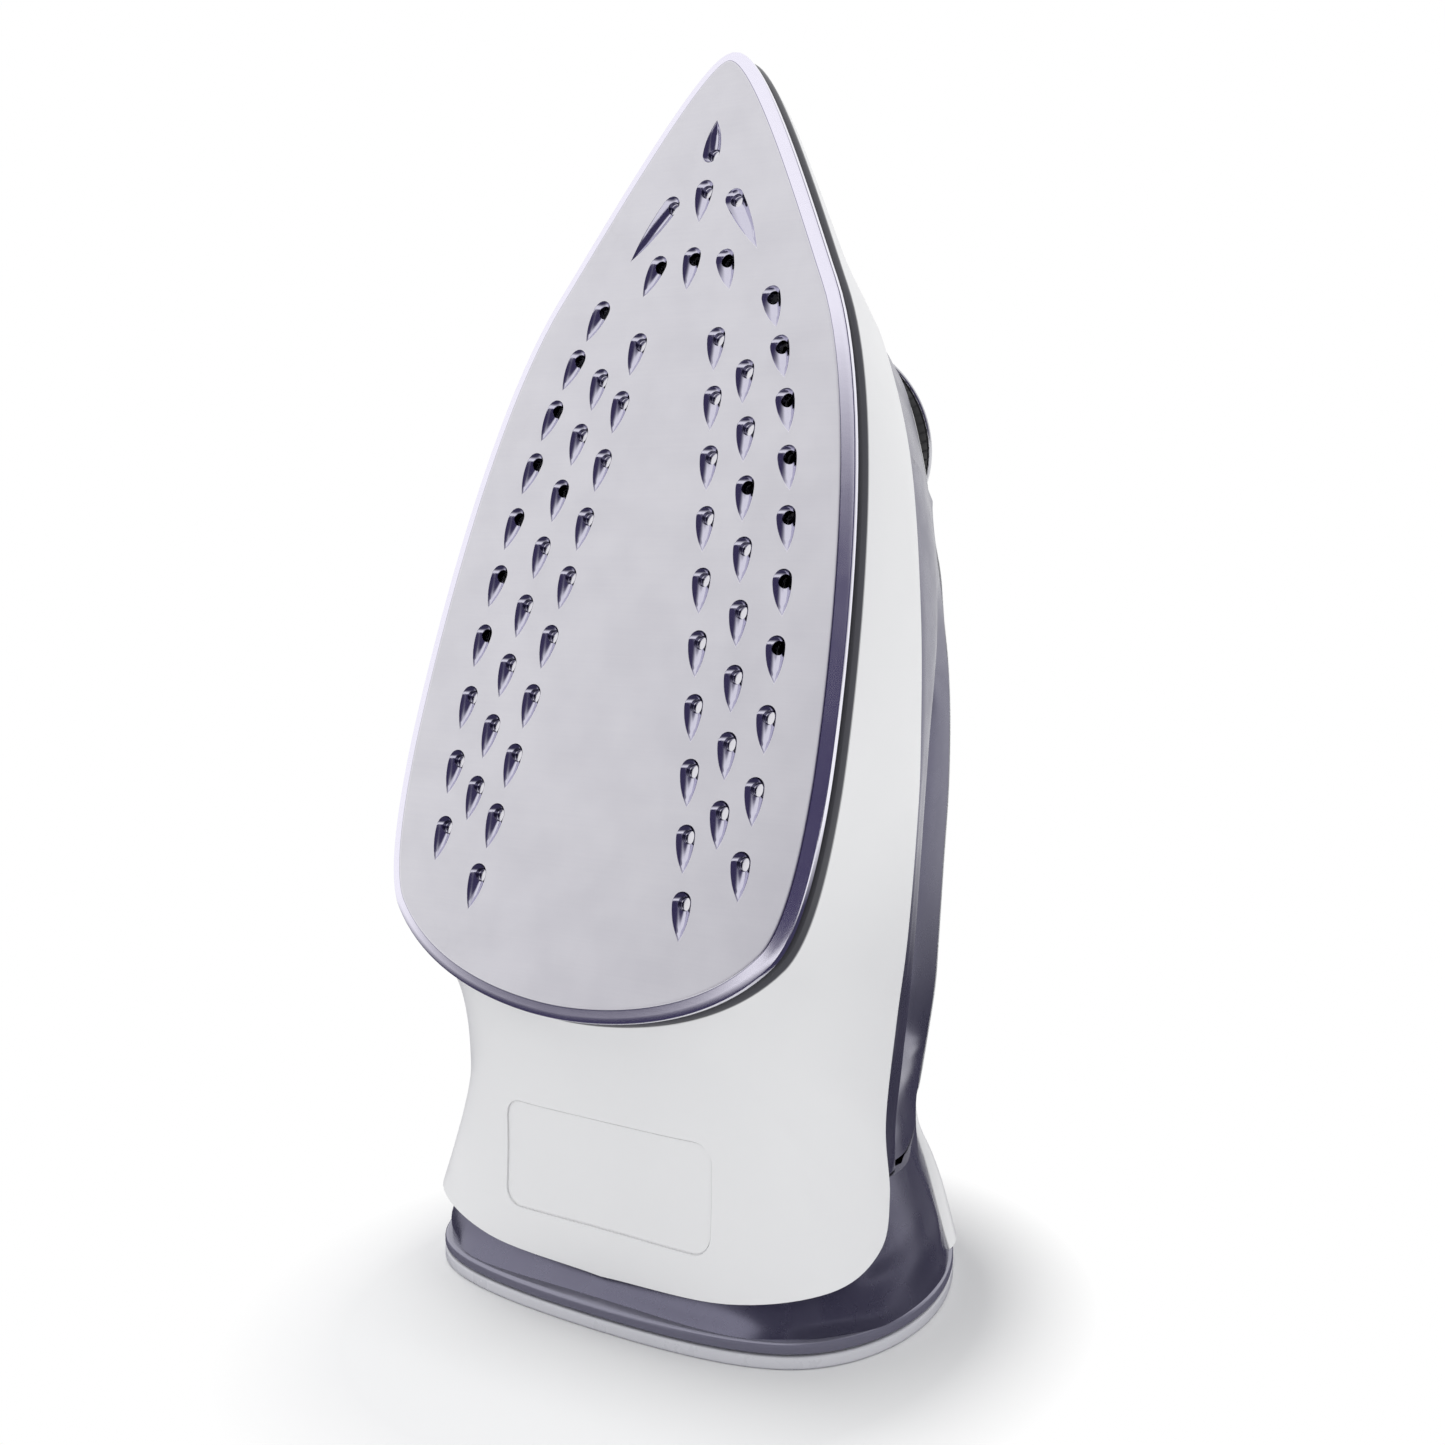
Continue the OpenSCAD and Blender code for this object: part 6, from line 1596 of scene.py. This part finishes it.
@dataclass
class Fittings:
    """Small moulded and turned pieces that are refined from their CAD nodes.

    Attributes:
        soft_edges: Node, width of its rounded edges in millimetres, finish and body.
    """

    soft_edges: tuple = (
        ("fill_door", 0.35, Finishes.BUTTON, Body.DOOR), ("spray_nozzle", 0.4, Finishes.CHARCOAL, Body.IRON),
        ("nozzle_tip", 0.15, Finishes.BRASS, Body.IRON), ("spray_button", 0.9, Finishes.BUTTON, Body.SPRAY),
        ("burst_button", 0.9, Finishes.BUTTON, Body.BURST),
        ("steam_slider", 0.25, Finishes.BUTTON, Body.SLIDER),
        ("lamp_lens", 0.3, Finishes.AMBER, Body.IRON), ("cord_collar", 0.7, Finishes.CHARCOAL, Body.IRON),
        ("cord_bush", 0.6, Finishes.RUBBER, Body.GLAND), ("dial_bush", 0.2, Finishes.GREY, Body.IRON),
        ("terminal_block", 0.4, Finishes.NATURAL, Body.IRON), ("cord_clamp", 0.5, Finishes.GREY, Body.IRON))

    @staticmethod
    def refine(node: str, width: float) -> bpy.types.Object:
        """Copies a CAD node, merges its triangles and rounds its edges.

        Args:
            node: Name of the CAD node.
            width: Width of the rounded edges in millimetres.

        Returns:
            The new piece.
        """
        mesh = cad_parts[node].data.copy()
        obj = linked(f"{node}_soft", mesh)
        bm = bmesh.new()
        bm.from_mesh(mesh)
        bmesh.ops.remove_doubles(bm, verts=bm.verts, dist=2e-6)
        bmesh.ops.dissolve_limit(bm, angle_limit=math.radians(1.0), verts=bm.verts, edges=bm.edges)
        bm.to_mesh(mesh)
        bm.free()
        return shade(round_edges(obj, width, 3, math.radians(40)), 35)

    def build(self) -> None:
        """Builds every refined piece."""
        for node, width, finish, body in self.soft_edges:
            place_piece(self.refine(node, width), finish, body, node)


@dataclass
class Works:
    """The working parts inside, which keep their CAD shape and get their finishes.

    Attributes:
        finishes: Each finish with the nodes that get it.
    """

    finishes: tuple = (
        (Finishes.CAST, "casting"), (Finishes.SHEATH, "heating_element valve_rod"),
        (Finishes.GASKET, "chamber_gasket"), (Finishes.SHEET, "chamber_cover"),
        (Finishes.SCREW, "cover_screws thermal_fuse skirt_screws handle_screws dial_spindle spindle_clip "
                         "door_pin pump_springs"),
        (Finishes.BLACK, "heat_shield"), (Finishes.CERAMIC, "thermostat"),
        (Finishes.BRASS, "fuse_clip drip_seat"), (Finishes.RUBBER, "tank_seal fill_seal"),
        (Finishes.NATURAL, "spray_pump burst_pump spray_piston burst_piston valve_guide lamp"),
        (Finishes.TUBE, "spray_tube burst_tube"), (Finishes.WIRE, "wiring"))

    def build(self) -> None:
        """Dresses the nodes that stay."""
        for finish, nodes in self.finishes:
            for node in nodes.split():
                dress(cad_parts[node], finish)


# Studio --------------------------------------------------------------------------------------------


@dataclass
class Studio:
    """The camera, the pale floor and the soft light.

    Attributes:
        eye: Place of the camera in metres.
        ahead: Direction that it looks in.
        lens: Focal length on a 36 mm sensor.
        sky: Strength of the soft light all round, and what it gains behind the iron and loses in front.
        key: Power of the soft lamp in watts.
        key_at: Place of the lamp in metres.
        key_aim: Place that it shines at.
        key_size: Length of its sides.
        dark: Directions of the room's shaded sides, each with the spread where it fades in.
        dark_tone: Colour of the shaded sides.
        pool_tone: Colour of the shaded floor under the iron, as reflections see it.
        pool: Distances from the iron where the shaded floor ends and where it has faded to white.
        spot: Shift and scale of the floor's round spot that keeps the shadow, as the camera sees it.
        fade: Sizes of the spot where the shadow starts to fade and where it has faded to white.
    """

    eye: tuple[float, float, float] = (0.24708, -0.36179, 0.18248)
    ahead: tuple[float, float, float] = (-0.56027, 0.82155, -0.10566)
    lens: float = 43.98
    sky: tuple[float, float, float] = (0.95, 0.04, 0.06)
    key: float = 4.2
    key_at: tuple[float, float, float] = (-0.3, 0.06, 1.25)
    key_aim: tuple[float, float, float] = (0, 0, 0.12)
    key_size: float = 0.55
    dark: tuple = ((0.2, -0.97, 0.1, 0.68, 0.86), (0.93, 0.05, 0.36, 0.4, 0.8))
    dark_tone: tuple[float, float, float] = (0.05, 0.042, 0.1)
    pool_tone: tuple[float, float, float] = (0.05, 0.045, 0.09)
    pool: tuple[float, float] = (0.26, 0.6)
    spot: tuple = ((-0.12, 0.42, 0), (15.4, 13.2, 1))
    fade: tuple[float, float] = (1.1, 1.5)

    def camera(self) -> None:
        """The camera, level and at the height that the iron is seen from."""
        data = bpy.data.cameras.new("camera")
        data.lens, data.sensor_width, data.clip_start, data.clip_end = self.lens, 36, 0.01, 100
        obj = linked("camera", data)
        look = Vector(self.ahead).normalized()
        side = look.cross(Vector((0, 0, 1))).normalized()
        up = side.cross(look)
        turn = Matrix((side, up, -look)).transposed().to_4x4()
        obj.matrix_world = Matrix.Translation(self.eye) @ turn
        bpy.context.scene.camera = obj

    def world(self) -> None:
        """Soft light all round, white to the camera, with shaded sides for reflections."""
        world = bpy.data.worlds.new("room")
        bpy.context.scene.world = world
        w = empty_tree(world)
        path = w.add("ShaderNodeLightPath").outputs
        where = w.add("ShaderNodeTexCoord").outputs["Generated"]
        sides: object = 0.0
        for x, y, z, low, high in self.dark:
            sides = w.calc(sides, w.span(w.along(where, (x, y, z)), low, high, 0, 1), "MAXIMUM")
        shaded = w.ramp(sides, ((0, (1, 1, 1)), (1, self.dark_tone)))
        shaded.color_ramp.interpolation = "EASE"
        plain, gain, loss = self.sky
        strength = w.span(w.along(where, (0.5, -0.85, 0.1)), -1, 1, plain + gain, plain - loss)
        lit = w.add("ShaderNodeBackground", {"Color": (0.985, 0.99, 1, 1), "Strength": strength})
        seen = w.add("ShaderNodeBackground", {"Color": (1, 1, 1, 1), "Strength": 1.0})
        mirrored_room = w.add("ShaderNodeBackground", {"Color": shaded.outputs[0], "Strength": 1.0})
        glossy = w.calc(path["Is Glossy Ray"], path["Is Transmission Ray"], "MAXIMUM")
        first = w.choose(glossy, lit, mirrored_room)
        w.end("ShaderNodeOutputWorld", w.choose(path["Is Camera Ray"], first, seen))

    def floor(self) -> None:
        """A wide pale floor that keeps the iron's shadow near it and is white further out."""
        mesh = bpy.data.meshes.new("floor")
        far = 60.0
        mesh.from_pydata([(-far, -far, 0), (far, -far, 0), (far, far, 0), (-far, far, 0)], [], [(0, 1, 2, 3)])
        obj = linked("floor", mesh)
        material = bpy.data.materials.new("pale_floor")
        w = empty_tree(material)
        white = (1, 1, 1, 1)
        grain = w.add("ShaderNodeTexNoise", {"Scale": 40.0})
        tone = w.mix(grain.outputs[0], (0.84, 0.84, 0.84, 1), (0.86, 0.86, 0.86, 1))
        matt = w.add("ShaderNodeBsdfDiffuse", {"Color": tone})
        pale = w.add("ShaderNodeBsdfDiffuse", {"Color": (0.82, 0.82, 0.82, 1)})
        place = w.add("ShaderNodeTexCoord").outputs["Object"]
        tint = w.mix(w.span(w.length(place), *self.pool, 0, 1), (*self.pool_tone, 1), white)
        mirrored_floor = w.add("ShaderNodeEmission", {"Color": tint, "Strength": 1.0})
        blank = w.add("ShaderNodeEmission", {"Color": white, "Strength": 1.0})
        shift, scale = self.spot
        spot = w.add("ShaderNodeMapping", {"Vector": place, "Location": shift, "Scale": scale})
        seen = w.choose(w.span(w.length(spot.outputs[0]), *self.fade, 0, 1), pale, blank)
        path = w.add("ShaderNodeLightPath").outputs
        first = w.choose(path["Is Camera Ray"], matt, seen)
        w.end("ShaderNodeOutputMaterial", w.choose(path["Is Glossy Ray"], first, mirrored_floor))
        mesh.materials.append(material)

    def lamp(self) -> None:
        """One soft square lamp, high over the iron's left side, that reflections don't show."""
        data = bpy.data.lights.new("key", "AREA")
        data.energy, data.shape, data.size, data.size_y = self.key, "RECTANGLE", self.key_size, self.key_size
        obj = linked("key", data)
        eye, aim = Vector(self.key_at), Vector(self.key_aim)
        obj.matrix_world = Matrix.Translation(eye) @ (aim - eye).to_track_quat("-Z", "Y").to_matrix().to_4x4()
        obj.visible_glossy = False

    def build(self) -> None:
        """Sets up the whole studio."""
        bpy.context.scene.view_settings.view_transform = "Standard"
        self.camera()
        self.world()
        self.floor()
        self.lamp()


def main() -> None:
    """Builds the studio and every sub-assembly in order."""
    logging.basicConfig(level=logging.INFO, format="%(name)s: %(message)s")
    for part in (Studio(), Soleplate(), Skirt(), Shells(), Heel(), Dial(), Fittings(), Works()):
        part.build()
    bpy.context.view_layer.update()


if __name__ == "__main__":
    main()
